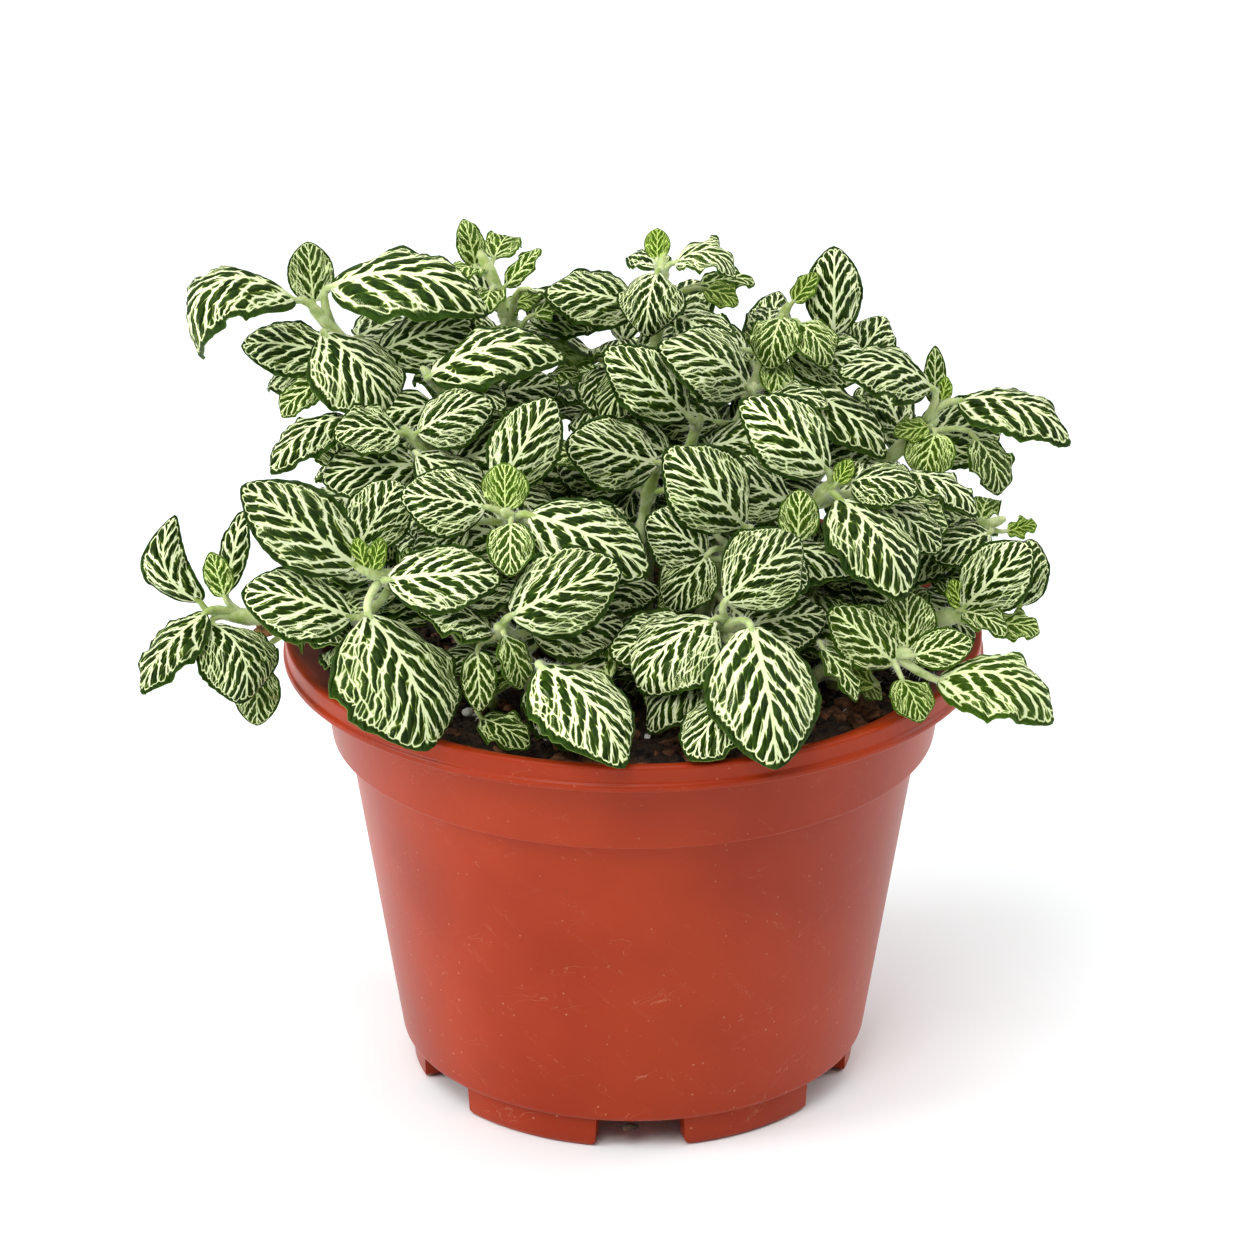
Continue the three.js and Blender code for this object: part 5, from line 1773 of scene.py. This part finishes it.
@dataclass
class Pot:
    """The moulded nursery pot."""

    centre: Array
    segments: int = 216
    foot_height: float = 5.9
    floor: float = 1.2
    wall: float = 1.1
    wall_bottom: float = 40.5
    wall_top: float = 49.2
    corner: float = 1.1
    step: float = 62.3
    collar_bottom: float = 51.9
    collar_top: float = 54.2
    rim: float = 60.0
    rim_top: float = 81.0
    lip: float = 4.4
    shoulder: float = 2.5
    feet: int = 6
    foot_outer: float = 38.9
    foot_inner: float = 35.2
    foot_half_angle: float = 19.0
    turn: float = 1.7
    drain_radius: float = 3.0
    drain_circle: float = 29.0
    middle_drain: float = 4.0
    drain_sides: int = 40
    round_steps: int = 5
    foot_steps: int = 20
    foot_trim: float = 3.2
    sharp_angle: float = 32.0

    def section(self) -> list[tuple[float, float, float]]:
        """The pot's section: each corner's radius, height and rounding.

        Returns:
            The corners, from the axis outside to the axis inside.
        """
        lip_bottom = self.rim_top - self.lip
        under = lip_bottom + self.wall
        inner = self.rim_top - self.shoulder
        return [
            (0, self.foot_height, 0),
            (self.wall_bottom, self.foot_height, 1.3),
            (self.wall_top, self.step, 0.25),
            (self.collar_bottom, self.step + 0.4, 0.5),
            (self.collar_top, under + 0.4, 0.5),
            (self.rim - self.wall, under, 0.25),
            (self.rim - self.wall, lip_bottom, 0.3),
            (self.rim, lip_bottom, 0.4),
            (self.rim, lip_bottom + 1.0, 0.4),
            (self.rim - 0.5, lip_bottom + 1.5, 0.5),
            (self.rim - 0.3, self.rim_top, 1.1),
            (self.rim - 1.8, self.rim_top, 0.8),
            (self.rim - 4, self.rim_top - 1, 1.0),
            (self.collar_top - self.wall, inner, 1.0),
            (self.collar_bottom - self.wall, self.step + self.wall + 0.3, 0.4),
            (self.wall_top - self.wall, self.step + 0.5, 0.4),
            (self.wall_bottom - self.wall, self.foot_height + self.floor, 1.0),
            (0, self.foot_height + self.floor, 0),
        ]

    def build(self, finish: Material) -> Object:
        """Makes the pot: a turned body, its feet, and its drain holes cut through the floor.

        Args:
            finish: Its material.

        Returns:
            The pot.
        """
        pot = self.turned("pot_body", rounded(self.section(), self.round_steps))
        for i in range(self.feet):
            gap = self.turn + i * 360 / self.feet
            boolean(pot, self.drain(self.drain_radius, self.drain_circle, gap), "DIFFERENCE")
        boolean(pot, self.drain(self.middle_drain, 0, 0), "DIFFERENCE")
        for i in range(self.feet):
            boolean(pot, self.foot(self.turn + (i + 0.5) * 360 / self.feet), "UNION")
        pot.data.transform(Matrix.Translation(Vector(self.centre)))
        pot.data.transform(Matrix.Scale(MM, 4))
        pot.data.materials.clear()
        pot.data.materials.append(finish)
        pot.data.polygons.foreach_set("material_index", [0] * len(pot.data.polygons))
        pot.data.set_sharp_from_angle(angle=math.radians(self.sharp_angle))
        return pot

    def turned(self, name: str, profile: list[tuple[float, float]]) -> Object:
        """A body turned from a profile that starts and ends on the axis.

        Args:
            name: The object's name.
            profile: Its radii and heights.

        Returns:
            The body, in millimetres.
        """
        n = self.segments
        angles = np.arange(n) * 2 * math.pi / n
        ring = np.stack([np.sin(angles), -np.cos(angles)], axis=1)
        points = [(0, 0, profile[0][1])]
        for r, z in profile[1:-1]:
            points += [(r * a, r * b, z) for a, b in ring]
        points.append((0, 0, profile[-1][1]))
        return smooth_object(name, points, turned_faces(len(profile) - 2, n))

    def foot(self, bearing: float) -> Object:
        """One curved foot under the floor, with soft lower edges.

        Args:
            bearing: Where it stands, in degrees from the front.

        Returns:
            The foot, in millimetres.
        """
        outline = []
        for radius, order in ((self.foot_outer, 1), (self.foot_inner, -1)):
            for i in range(self.foot_steps + 1):
                share = i / self.foot_steps if order == 1 else 1 - i / self.foot_steps
                outline.append((radius, self.foot_half_angle * (2 * share - 1)))
        levels = [
            (0.0, 0.95, 0.8),
            (0.35, 0.5, 0.45),
            (1.0, 0.15, 0.15),
            (self.foot_height + 0.6, 0.0, 0.0),
        ]
        middle = (self.foot_outer + self.foot_inner) / 2
        points = []
        for z, inset, trim in levels:
            for radius, degrees in outline:
                r = radius + (inset if radius < middle else -inset)
                angle = math.radians(bearing + degrees * (1 - trim * self.foot_trim / self.foot_half_angle))
                points.append((r * math.sin(angle), -r * math.cos(angle), z))
        size = len(outline)
        faces = [tuple(reversed(range(size))), tuple(range(3 * size, 4 * size))]
        for k in range(3):
            for i in range(size):
                a, b = k * size + i, k * size + (i + 1) % size
                faces.append((a, b, b + size, a + size))
        foot = smooth_object("foot", points, faces)
        outward(foot.data)
        return foot

    def drain(self, radius: float, distance: float, bearing: float) -> Object:
        """A plain cylinder where a drain hole is cut.

        Args:
            radius: The hole's radius.
            distance: How far it is from the pot's axis.
            bearing: Where it is, in degrees from the front.

        Returns:
            The cylinder, in millimetres.
        """
        mesh = bpy.data.meshes.new("drain")
        maker = bmesh.new()
        bmesh.ops.create_cone(
            maker, cap_ends=True, segments=self.drain_sides, radius1=radius, radius2=radius,
            depth=4 * self.floor,
        )
        angle = math.radians(bearing)
        place = (distance * math.sin(angle), -distance * math.cos(angle), self.foot_height + self.floor / 2)
        bmesh.ops.translate(maker, verts=maker.verts, vec=place)
        maker.to_mesh(mesh)
        maker.free()
        return linked(bpy.data.objects.new("drain", mesh))


def turned_faces(rows: int, sides: int) -> list[tuple]:
    """The faces of a body turned round the pot's axis, with one point on the axis at each end.

    Args:
        rows: Its rings of points between the two.
        sides: Points in a ring.

    Returns:
        The faces.
    """
    faces = [(0, 1 + (i + 1) % sides, 1 + i) for i in range(sides)]
    for k in range(rows - 1):
        a, b = 1 + k * sides, 1 + (k + 1) * sides
        faces += [(a + i, a + (i + 1) % sides, b + (i + 1) % sides, b + i) for i in range(sides)]
    top, last = 1 + (rows - 1) * sides, 1 + rows * sides
    return faces + [(top + i, top + (i + 1) % sides, last) for i in range(sides)]


def outward(mesh: Mesh) -> None:
    """Turns a closed mesh's faces outwards.

    Args:
        mesh: The mesh.
    """
    maker = bmesh.new()
    maker.from_mesh(mesh)
    bmesh.ops.recalc_face_normals(maker, faces=maker.faces)
    maker.to_mesh(mesh)
    maker.free()


def boolean(target: Object, other: Object, operation: str) -> None:
    """Joins or cuts a body with another, which is then removed.

    Args:
        target: The body that changes.
        other: The other body.
        operation: What is done.
    """
    modifier = target.modifiers.new("join", "BOOLEAN")
    modifier.object = other
    modifier.operation = operation
    modifier.solver = "EXACT"
    view = bpy.context.evaluated_depsgraph_get()
    mesh = bpy.data.meshes.new_from_object(target.evaluated_get(view))
    target.modifiers.remove(modifier)
    target.data = mesh
    bpy.data.objects.remove(other)


ROUND_LIMIT = 0.45


def rounded(corners: list[tuple[float, float, float]], steps: int) -> list[tuple[float, float]]:
    """An outline with each corner rounded.

    Args:
        corners: Each corner's two coordinates and its rounding.
        steps: Points along each round.

    Returns:
        The outline's points.
    """
    out = []
    for i, (x, y, size) in enumerate(corners):
        if not size:
            out.append((x, y))
            continue
        here = np.array([x, y], float)
        before = np.array(corners[i - 1][:2]) - here
        after = np.array(corners[i + 1][:2]) - here
        reach = min(size, ROUND_LIMIT * np.linalg.norm(before), ROUND_LIMIT * np.linalg.norm(after))
        start, end = here + unit(before) * reach, here + unit(after) * reach
        for k in range(steps + 1):
            s = k / steps
            out.append(tuple((1 - s) ** 2 * start + 2 * (1 - s) * s * here + s * s * end))
    return out


@dataclass
class Soil:
    """The peat that fills the pot, with its crumbs, bark, perlite and moss."""

    centre: Array
    segments: int = 168
    rings: int = 60
    clearance: float = 0.3
    patch_sides: int = 24
    patch_rings: int = 6

    # Two layers of roughness: their spacing, power, gap and octaves, and their size.
    LUMPS = (0.16, 1.0, 2.0, 2, 0.7)
    CRUMBS = (0.7, 0.9, 2.1, 4, 0.45)
    SINK = 0.2

    def height(self, x: float, y: float) -> float:
        """The height of the rough top at a place.

        Args:
            x: Distance to the right of the pot's axis.
            y: Distance behind it.

        Returns:
            The height, in millimetres.
        """
        place = Vector((x, y, 3.0))
        rough = 0.0
        for spacing, power, gap, octaves, size in (self.LUMPS, self.CRUMBS):
            rough += noise.fractal(place * spacing, power, gap, octaves) * size
        return float(soil_top(x, y)) + rough - self.SINK

    def body(self, finish: Material) -> Object:
        """The soil's closed body with its rough top.

        Args:
            finish: Its material.

        Returns:
            The body.
        """
        inside = Pot.wall + self.clearance
        sides = [
            (Pot.wall_bottom - inside - 1, Pot.foot_height + Pot.floor + self.clearance),
            (Pot.wall_bottom - inside, Pot.foot_height + Pot.floor + 2),
            (Pot.wall_top - inside, Pot.step + 0.4),
            (Pot.collar_bottom - inside, Pot.step + Pot.wall + 1),
        ]
        n = self.segments
        angles = np.arange(n) * 2 * math.pi / n
        points = [(0.0, 0.0, sides[0][1])]
        for radius, z in sides:
            points += [(radius * math.sin(a), -radius * math.cos(a), z) for a in angles]
        for k in range(self.rings):
            radius = SOIL_EDGE_RADIUS * (1 - k / self.rings)
            for a in angles:
                x, y = radius * math.sin(a), -radius * math.cos(a)
                points.append((x, y, self.height(x, y)))
        points.append((0.0, 0.0, self.height(0.0, 0.0)))
        return self.solid("soil_body", points, turned_faces(len(sides) + self.rings, n), finish)

    def solid(self, name: str, points: list, faces: list, finish: Material | None) -> Object:
        """A body in its place.

        Args:
            name: The object's name.
            points: Its points, in millimetres from the pot's axis.
            faces: Its faces.
            finish: Its material, if it has one.

        Returns:
            The body, in metres.
        """
        placed = (np.array(points) + self.centre) * MM
        made = smooth_object(name, placed.tolist(), faces)
        made.data.materials.append(finish)
        return made

    def patch(self, x: float, y: float, radius: float, z: float | None = None) -> Object:
        """A round sheet on which grains are scattered.

        Args:
            x: Its middle's distance to the right of the pot's axis.
            y: Its middle's distance behind the axis.
            radius: Its radius.
            z: Its height, if it doesn't follow the soil.

        Returns:
            The sheet, in metres.
        """
        n, rings = self.patch_sides, self.patch_rings
        points = [(x, y, self.height(x, y) if z is None else z)]
        for k in range(1, rings + 1):
            for i in range(n):
                a = 2 * math.pi * i / n
                px, py = x + radius * k / rings * math.cos(a), y + radius * k / rings * math.sin(a)
                points.append((px, py, self.height(px, py) if z is None else z))
        faces = [(0, 1 + i, 1 + (i + 1) % n) for i in range(n)]
        for k in range(rings - 1):
            a, b = 1 + k * n, 1 + (k + 1) * n
            faces += [(a + i, b + i, b + (i + 1) % n, a + (i + 1) % n) for i in range(n)]
        return self.solid("patch", points, faces, None)


@dataclass(frozen=True)
class Scatter:
    """Grains of one kind on the soil."""

    name: str
    finish: SkinFinish
    density: float
    smallest: float
    largest: float
    length: float
    roughness: float
    fineness: int
    seed: int
    place: tuple = ()


# Where a scatter has a place, it is the middle of a round patch from the pot's axis, the patch's
# radius and, off the soil, its height.
SCATTERS = (
    Scatter("peat_crumbs", PEAT, 0.5, 0.5, 2.1, 1.2, 0.5, 1, 11),
    Scatter("bark_chips", BARK, 0.055, 1.2, 3.4, 1.7, 0.8, 1, 12),
    Scatter("perlite_grains", PERLITE, 0.006, 1.0, 2.4, 1.1, 0.5, 2, 13),
    Scatter("bark_pieces_right", BARK, 0.2, 2.0, 4.2, 1.6, 1.4, 2, 22, (36.5, -26.5, 5.0)),
    Scatter("bark_pieces_front", BARK, 0.12, 1.8, 3.8, 1.6, 1.4, 2, 23, (-8, -42, 6.5)),
    Scatter("moss_left", MOSS, 3.5, 0.5, 1.3, 1.5, 0.3, 1, 24, (-48.2, -9.3, 2.4)),
    Scatter("moss_front", MOSS, 3.5, 0.5, 1.2, 1.5, 0.3, 1, 25, (-26.6, -41.4, 2.2)),
    Scatter("crumbs_at_drain", PEAT, 0.8, 1.0, 2.2, 1.2, 0.6, 1, 26, (-0.4, -38.4, 1.4, 4.5)),
    Scatter("runner_husks", HUSK, 1.2, 0.9, 1.9, 1.8, 0.5, 1, 27, (-61.5, -20, 1.6, 88)),
)


class Foliage:
    """Makes the stems' fine pieces and their hairs."""

    STALK_RADIUS = 0.7
    STEM_TOP_RADIUS = 0.8
    STEM_STEPS = 18
    SIDES = 9
    HOOKED_ARCH = 9
    HOOKED_REACH = 70
    HOOKED_CURL = 1.7
    SHADED_DEPTH = (8, 26)
    SHADED_LOSS = 0.38
    FRESH_STEM = "leafy_stem_20"
    FRESH_YOUTH = 0.22
    CHANCE_STEPS = (0.37, 0.61803, 0.13)
    VIGOUR = (0.75, 0.4, 7.3)
    CURL = (0.35, 0.5, 5.1)
    TAPER = 0.6
    SWELL = 0.2
    SWELL_LENGTH = 1.4
    TIP_LENGTH = 0.9
    STALK_SIZES = (0.45, 40)
    STALK_UNDER_LEAF = (0.06, 0.16)
    STALK_SINK = 0.35
    STALK_BEND = 0.35
    HAIRLESS_HEIGHT = 1.5
    HAIR_DENSITY = 1.7e6
    HAIR_LENGTH = 0.95
    HAIR_THICKNESS = 0.036
    HAIR_SEED = 5

    def __init__(self, centre: Array, finishes: list) -> None:
        """Keeps what all the pieces share.

        Args:
            centre: The pot's axis in the frame, in millimetres.
            finishes: The materials of stem, upper face and lower face.
        """
        self.centre = centre
        self.finishes = finishes
        self.tubes = tube_tree()
        self.tube_meshes: list = []

    def piece(self, stem: Stem) -> Object:
        """One stem with its stalks and leaves.

        Args:
            stem: The stem.

        Returns:
            The piece.
        """
        shell = Shell()
        index = int(stem.name[-2:])
        youth = self.FRESH_YOUTH if stem.name == self.FRESH_STEM else 0.0
        by_stem, by_leaf, first = self.CHANCE_STEPS
        for order, leaf in enumerate(stem.leaves):
            chance = (by_stem * index + by_leaf * order + first) % 1
            depth = stem.line.crown[2] - leaf.base[2]
            vigour_and_shade, curl = (
                least + spread * ((chance * stride) % 1) for least, spread, stride in (self.VIGOUR, self.CURL)
            )
            # Leaves far below their stem's crown lose vigour here: painted shade, which dims and greys their
            # veins and thins them.
            vigour_and_shade -= np.interp(depth, self.SHADED_DEPTH, (0, self.SHADED_LOSS))
            if leaf.arch >= self.HOOKED_ARCH and math.hypot(*leaf.tip[:2]) > self.HOOKED_REACH:
                curl = self.HOOKED_CURL
            leaf = replace(leaf, vigour_and_shade=vigour_and_shade, curl=curl, youth=youth)
            LeafMaker(leaf, chance).build(shell)
        tube = self.tube(stem)
        points = np.zeros(len(tube.vertices) * 3)
        tube.vertices.foreach_get("co", points)
        faces = [tuple(face.vertices) for face in tube.polygons]
        shell.add(points.reshape(-1, 3) / MM - self.centre, {Slot.STEM: faces})
        self.tube_meshes.append(tube)
        return shell.object(stem.name + "_grown", self.finishes, self.centre)

    def tube(self, stem: Stem) -> Mesh:
        """The round skins of a stem and its stalks.

        Args:
            stem: The stem.

        Returns:
            Their mesh, in metres.
        """
        curve = bpy.data.curves.new("paths", "CURVE")
        curve.dimensions = "3D"
        root = np.array([*stem.line.foot, soil_top(*stem.line.foot) - ROOT_DEPTH])
        path = [(root, STEM_ROOT_RADIUS)]
        for i in range(self.STEM_STEPS + 1):
            t = i / self.STEM_STEPS
            radius = STEM_ROOT_RADIUS + (self.STEM_TOP_RADIUS - STEM_ROOT_RADIUS) * t**self.TAPER
            for leaf in stem.leaves:
                gap = np.linalg.norm(stem.line.point(t) - leaf.root)
                radius += self.SWELL * math.exp(-((gap / self.SWELL_LENGTH) ** 2))
            path.append((stem.line.point(t), radius))
        end = stem.line.point(1)
        tip = end + self.TIP_LENGTH * unit(end - stem.line.point(0.95))
        path.append((tip, self.STEM_TOP_RADIUS * 0.5))
        self.spline(curve, path)
        for leaf in stem.leaves:
            self.spline(curve, self.stalk(leaf))
        paths = linked(bpy.data.objects.new("paths", curve))
        mesh = self.tubes.mesh(paths, Sides=self.SIDES, Finish=self.finishes[0])
        bpy.data.objects.remove(paths)
        return mesh

    def stalk(self, leaf: Leaf) -> list:
        """A stalk's path: from the stem, into the blade's underside along the midrib.

        Args:
            leaf: The leaf.

        Returns:
            Its points, in millimetres from the pot's axis, each with its radius.
        """
        blade = Blade(leaf)
        least, full = self.STALK_SIZES
        radius = self.STALK_RADIUS * min(1.0, least + leaf.length / full)
        start, end = leaf.root, leaf.base
        run = np.array(self.STALK_UNDER_LEAF)
        under = blade.point(run, np.zeros(2)) - blade.normal(run) * self.STALK_SINK
        bend = end - blade.along * self.STALK_BEND * np.linalg.norm(end - start)
        path = [(start, radius * 1.25)]
        for s in (0.25, 0.5, 0.75):
            point = (1 - s) ** 2 * start + 2 * (1 - s) * s * bend + s * s * end
            path.append((point, radius * (1.2 - 0.3 * s)))
        path.append((end, radius * 0.9))
        path += [(under[0], radius * 0.6), (under[1], radius * 0.25)]
        return path

    def spline(self, curve: bpy.types.Curve, path: list) -> None:
        """Adds a path to a curve, in metres, with its radius at each point.

        Args:
            curve: The curve.
            path: Points in millimetres from the pot's axis, each with its radius.
        """
        spline = curve.splines.new("POLY")
        spline.points.add(len(path) - 1)
        for point, (place, radius) in zip(spline.points, path):
            point.co = (*((place + self.centre) * MM), 1.0)
            point.radius = radius * MM

    def hairs(self, finish: Material) -> Object:
        """The short pale hairs on all stems and stalks.

        Args:
            finish: Their material.

        Returns:
            The hairs.
        """
        maker = bmesh.new()
        for mesh in self.tube_meshes:
            maker.from_mesh(mesh)
        floor = (SOIL_LEVEL + self.HAIRLESS_HEIGHT) * MM
        buried = [face for face in maker.faces if face.calc_center_median().z < floor]
        bmesh.ops.delete(maker, geom=buried, context="FACES")
        skin = bpy.data.meshes.new("skin")
        maker.to_mesh(skin)
        maker.free()
        carrier = linked(bpy.data.objects.new("skin", skin))
        mesh = hair_tree().mesh(
            carrier, Density=self.HAIR_DENSITY, Length=self.HAIR_LENGTH * MM,
            Thickness=self.HAIR_THICKNESS * MM, Seed=self.HAIR_SEED, Finish=finish,
        )
        bpy.data.objects.remove(carrier)
        mesh.name = "stem_hairs"
        return linked(bpy.data.objects.new("stem_hairs", mesh))


@dataclass
class Studio:
    """The pale floor, the soft light and the camera of the photograph."""

    centre: Array
    target_height: float = 80.3
    distance: float = 857.2
    elevation: float = 22.87
    shift_left: float = 1.1
    focal_pixels: float = 5000.0
    frame_pixels: float = 1254.0
    sensor: float = 36.0
    aim_height: float = 0.09
    floor_size: float = 6.0
    paper: tuple = (0.89, 0.93, 0.935)
    sky_strength: float = 0.3

    # Each light's name, place, size and power.
    LIGHTS = (
        ("key", (-0.3, -0.9, 1.2), 0.6, 9.5),
        ("left", (-1.1, -0.35, 0.55), 0.6, 10.0),
        ("right", (1.1, 0.3, 0.5), 0.5, 4.5),
        ("above", (0.0, 0.3, 2.2), 4.0, 68.0),
    )

    def camera(self) -> None:
        """Places the camera."""
        data = bpy.data.cameras.new("camera")
        data.sensor_width = self.sensor
        data.lens = self.focal_pixels / self.frame_pixels * self.sensor
        data.clip_start = 0.05
        camera = linked(bpy.data.objects.new("camera", data))
        tilt = math.radians(self.elevation)
        x, y = self.centre[0] - self.shift_left, self.centre[1]
        camera.location = Vector((
            x, y - self.distance * math.cos(tilt), self.target_height + self.distance * math.sin(tilt),
        )) * MM
        camera.rotation_euler = Euler((math.radians(90) - tilt, 0, 0))
        bpy.context.scene.camera = camera

    def light(self, name: str, place: tuple, size: float, power: float) -> None:
        """A soft square light that faces the plant.

        Args:
            name: Its name.
            place: Where it is, in metres.
            size: Its side.
            power: Its power, in watts.
        """
        data = bpy.data.lights.new(name, "AREA")
        data.size = size
        data.energy = power
        lamp = linked(bpy.data.objects.new(name, data))
        lamp.location = place
        aim = Vector((0, 0, self.aim_height)) - Vector(place)
        lamp.rotation_euler = aim.to_track_quat("-Z", "Y").to_euler()

    def build(self) -> None:
        """Makes the floor, the lights and the camera."""
        self.camera()
        made, s, shader = material("floor_paper")
        wire(s.tree, shader, {"Base Color": rgb(*self.paper), "Roughness": 0.8})
        maker = bmesh.new()
        bmesh.ops.create_grid(maker, x_segments=1, y_segments=1, size=self.floor_size)
        mesh = bpy.data.meshes.new("floor")
        maker.to_mesh(mesh)
        maker.free()
        mesh.materials.append(made)
        floor = linked(bpy.data.objects.new("floor", mesh))
        world = bpy.data.worlds.new("studio")
        world.use_nodes = True
        sky = world.node_tree.nodes["Background"]
        wire(world.node_tree, sky, {0: rgb(1.0, 1.0, 1.0), 1: self.sky_strength})
        bpy.context.scene.world = world
        bpy.context.scene.view_settings.view_transform = "Standard"
        for lamp in self.LIGHTS:
            self.light(*lamp)


def finished(piece: Object, slot: str, *nodes: str) -> Object:
    """A finished piece: it rides on the one body and may stand for nodes, which are hidden; its triangles are
    logged.

    Args:
        piece: The piece.
        slot: Not used.
        *nodes: The nodes that it replaces.

    Returns:
        The piece.
    """
    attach(piece, BODY)
    if nodes:
        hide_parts(*nodes)
    count = sum(len(face.vertices) - 2 for face in piece.data.polygons)
    LOG.info("%s: %d triangles", piece.name, count)
    return piece


def main() -> None:
    """Builds the plant in its pot, part by part."""
    logging.basicConfig(level=logging.INFO, format="%(message)s")
    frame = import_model()
    low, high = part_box("pot")
    centre = np.array([(low[0] + high[0]) / 2, (low[1] + high[1]) / 2, 0.0]) / MM

    Studio(centre).build()
    pot = Pot(centre).build(PotPlastic((float(centre[0]), float(centre[1]))).build())
    finished(pot, "pot", "pot")

    soil = Soil(centre)
    peat = PEAT.build()
    finished(soil.body(peat), "soil", "soil")
    grains = grain_tree()
    for kind in SCATTERS:
        sheet = soil.patch(*(kind.place or (0.0, 0.0, SOIL_EDGE_RADIUS - 1)))
        mesh = grains.mesh(
            sheet, Density=kind.density * 1e6, Smallest=kind.smallest * MM, Largest=kind.largest * MM,
            Length=kind.length, Roughness=kind.roughness * MM, Fineness=kind.fineness, Seed=kind.seed,
            Finish=peat if kind.finish is PEAT else kind.finish.build(),
        )
        mesh.name = kind.name
        finished(linked(bpy.data.objects.new(kind.name, mesh)), "soil")
        bpy.data.objects.remove(sheet)

    plant = PlantRule()
    plant.settle(frame["nodes"], centre)
    plant.fill()
    foliage = Foliage(centre, [STEM_SKIN.build(), LEAF_TOP.build(), LEAF_UNDER.build()])
    for stem in plant.stems:
        finished(foliage.piece(stem), "leafy_stem", stem.name)
    finished(foliage.hairs(HAIR.build()), "leafy_stem")


if __name__ == "__main__":
    main()
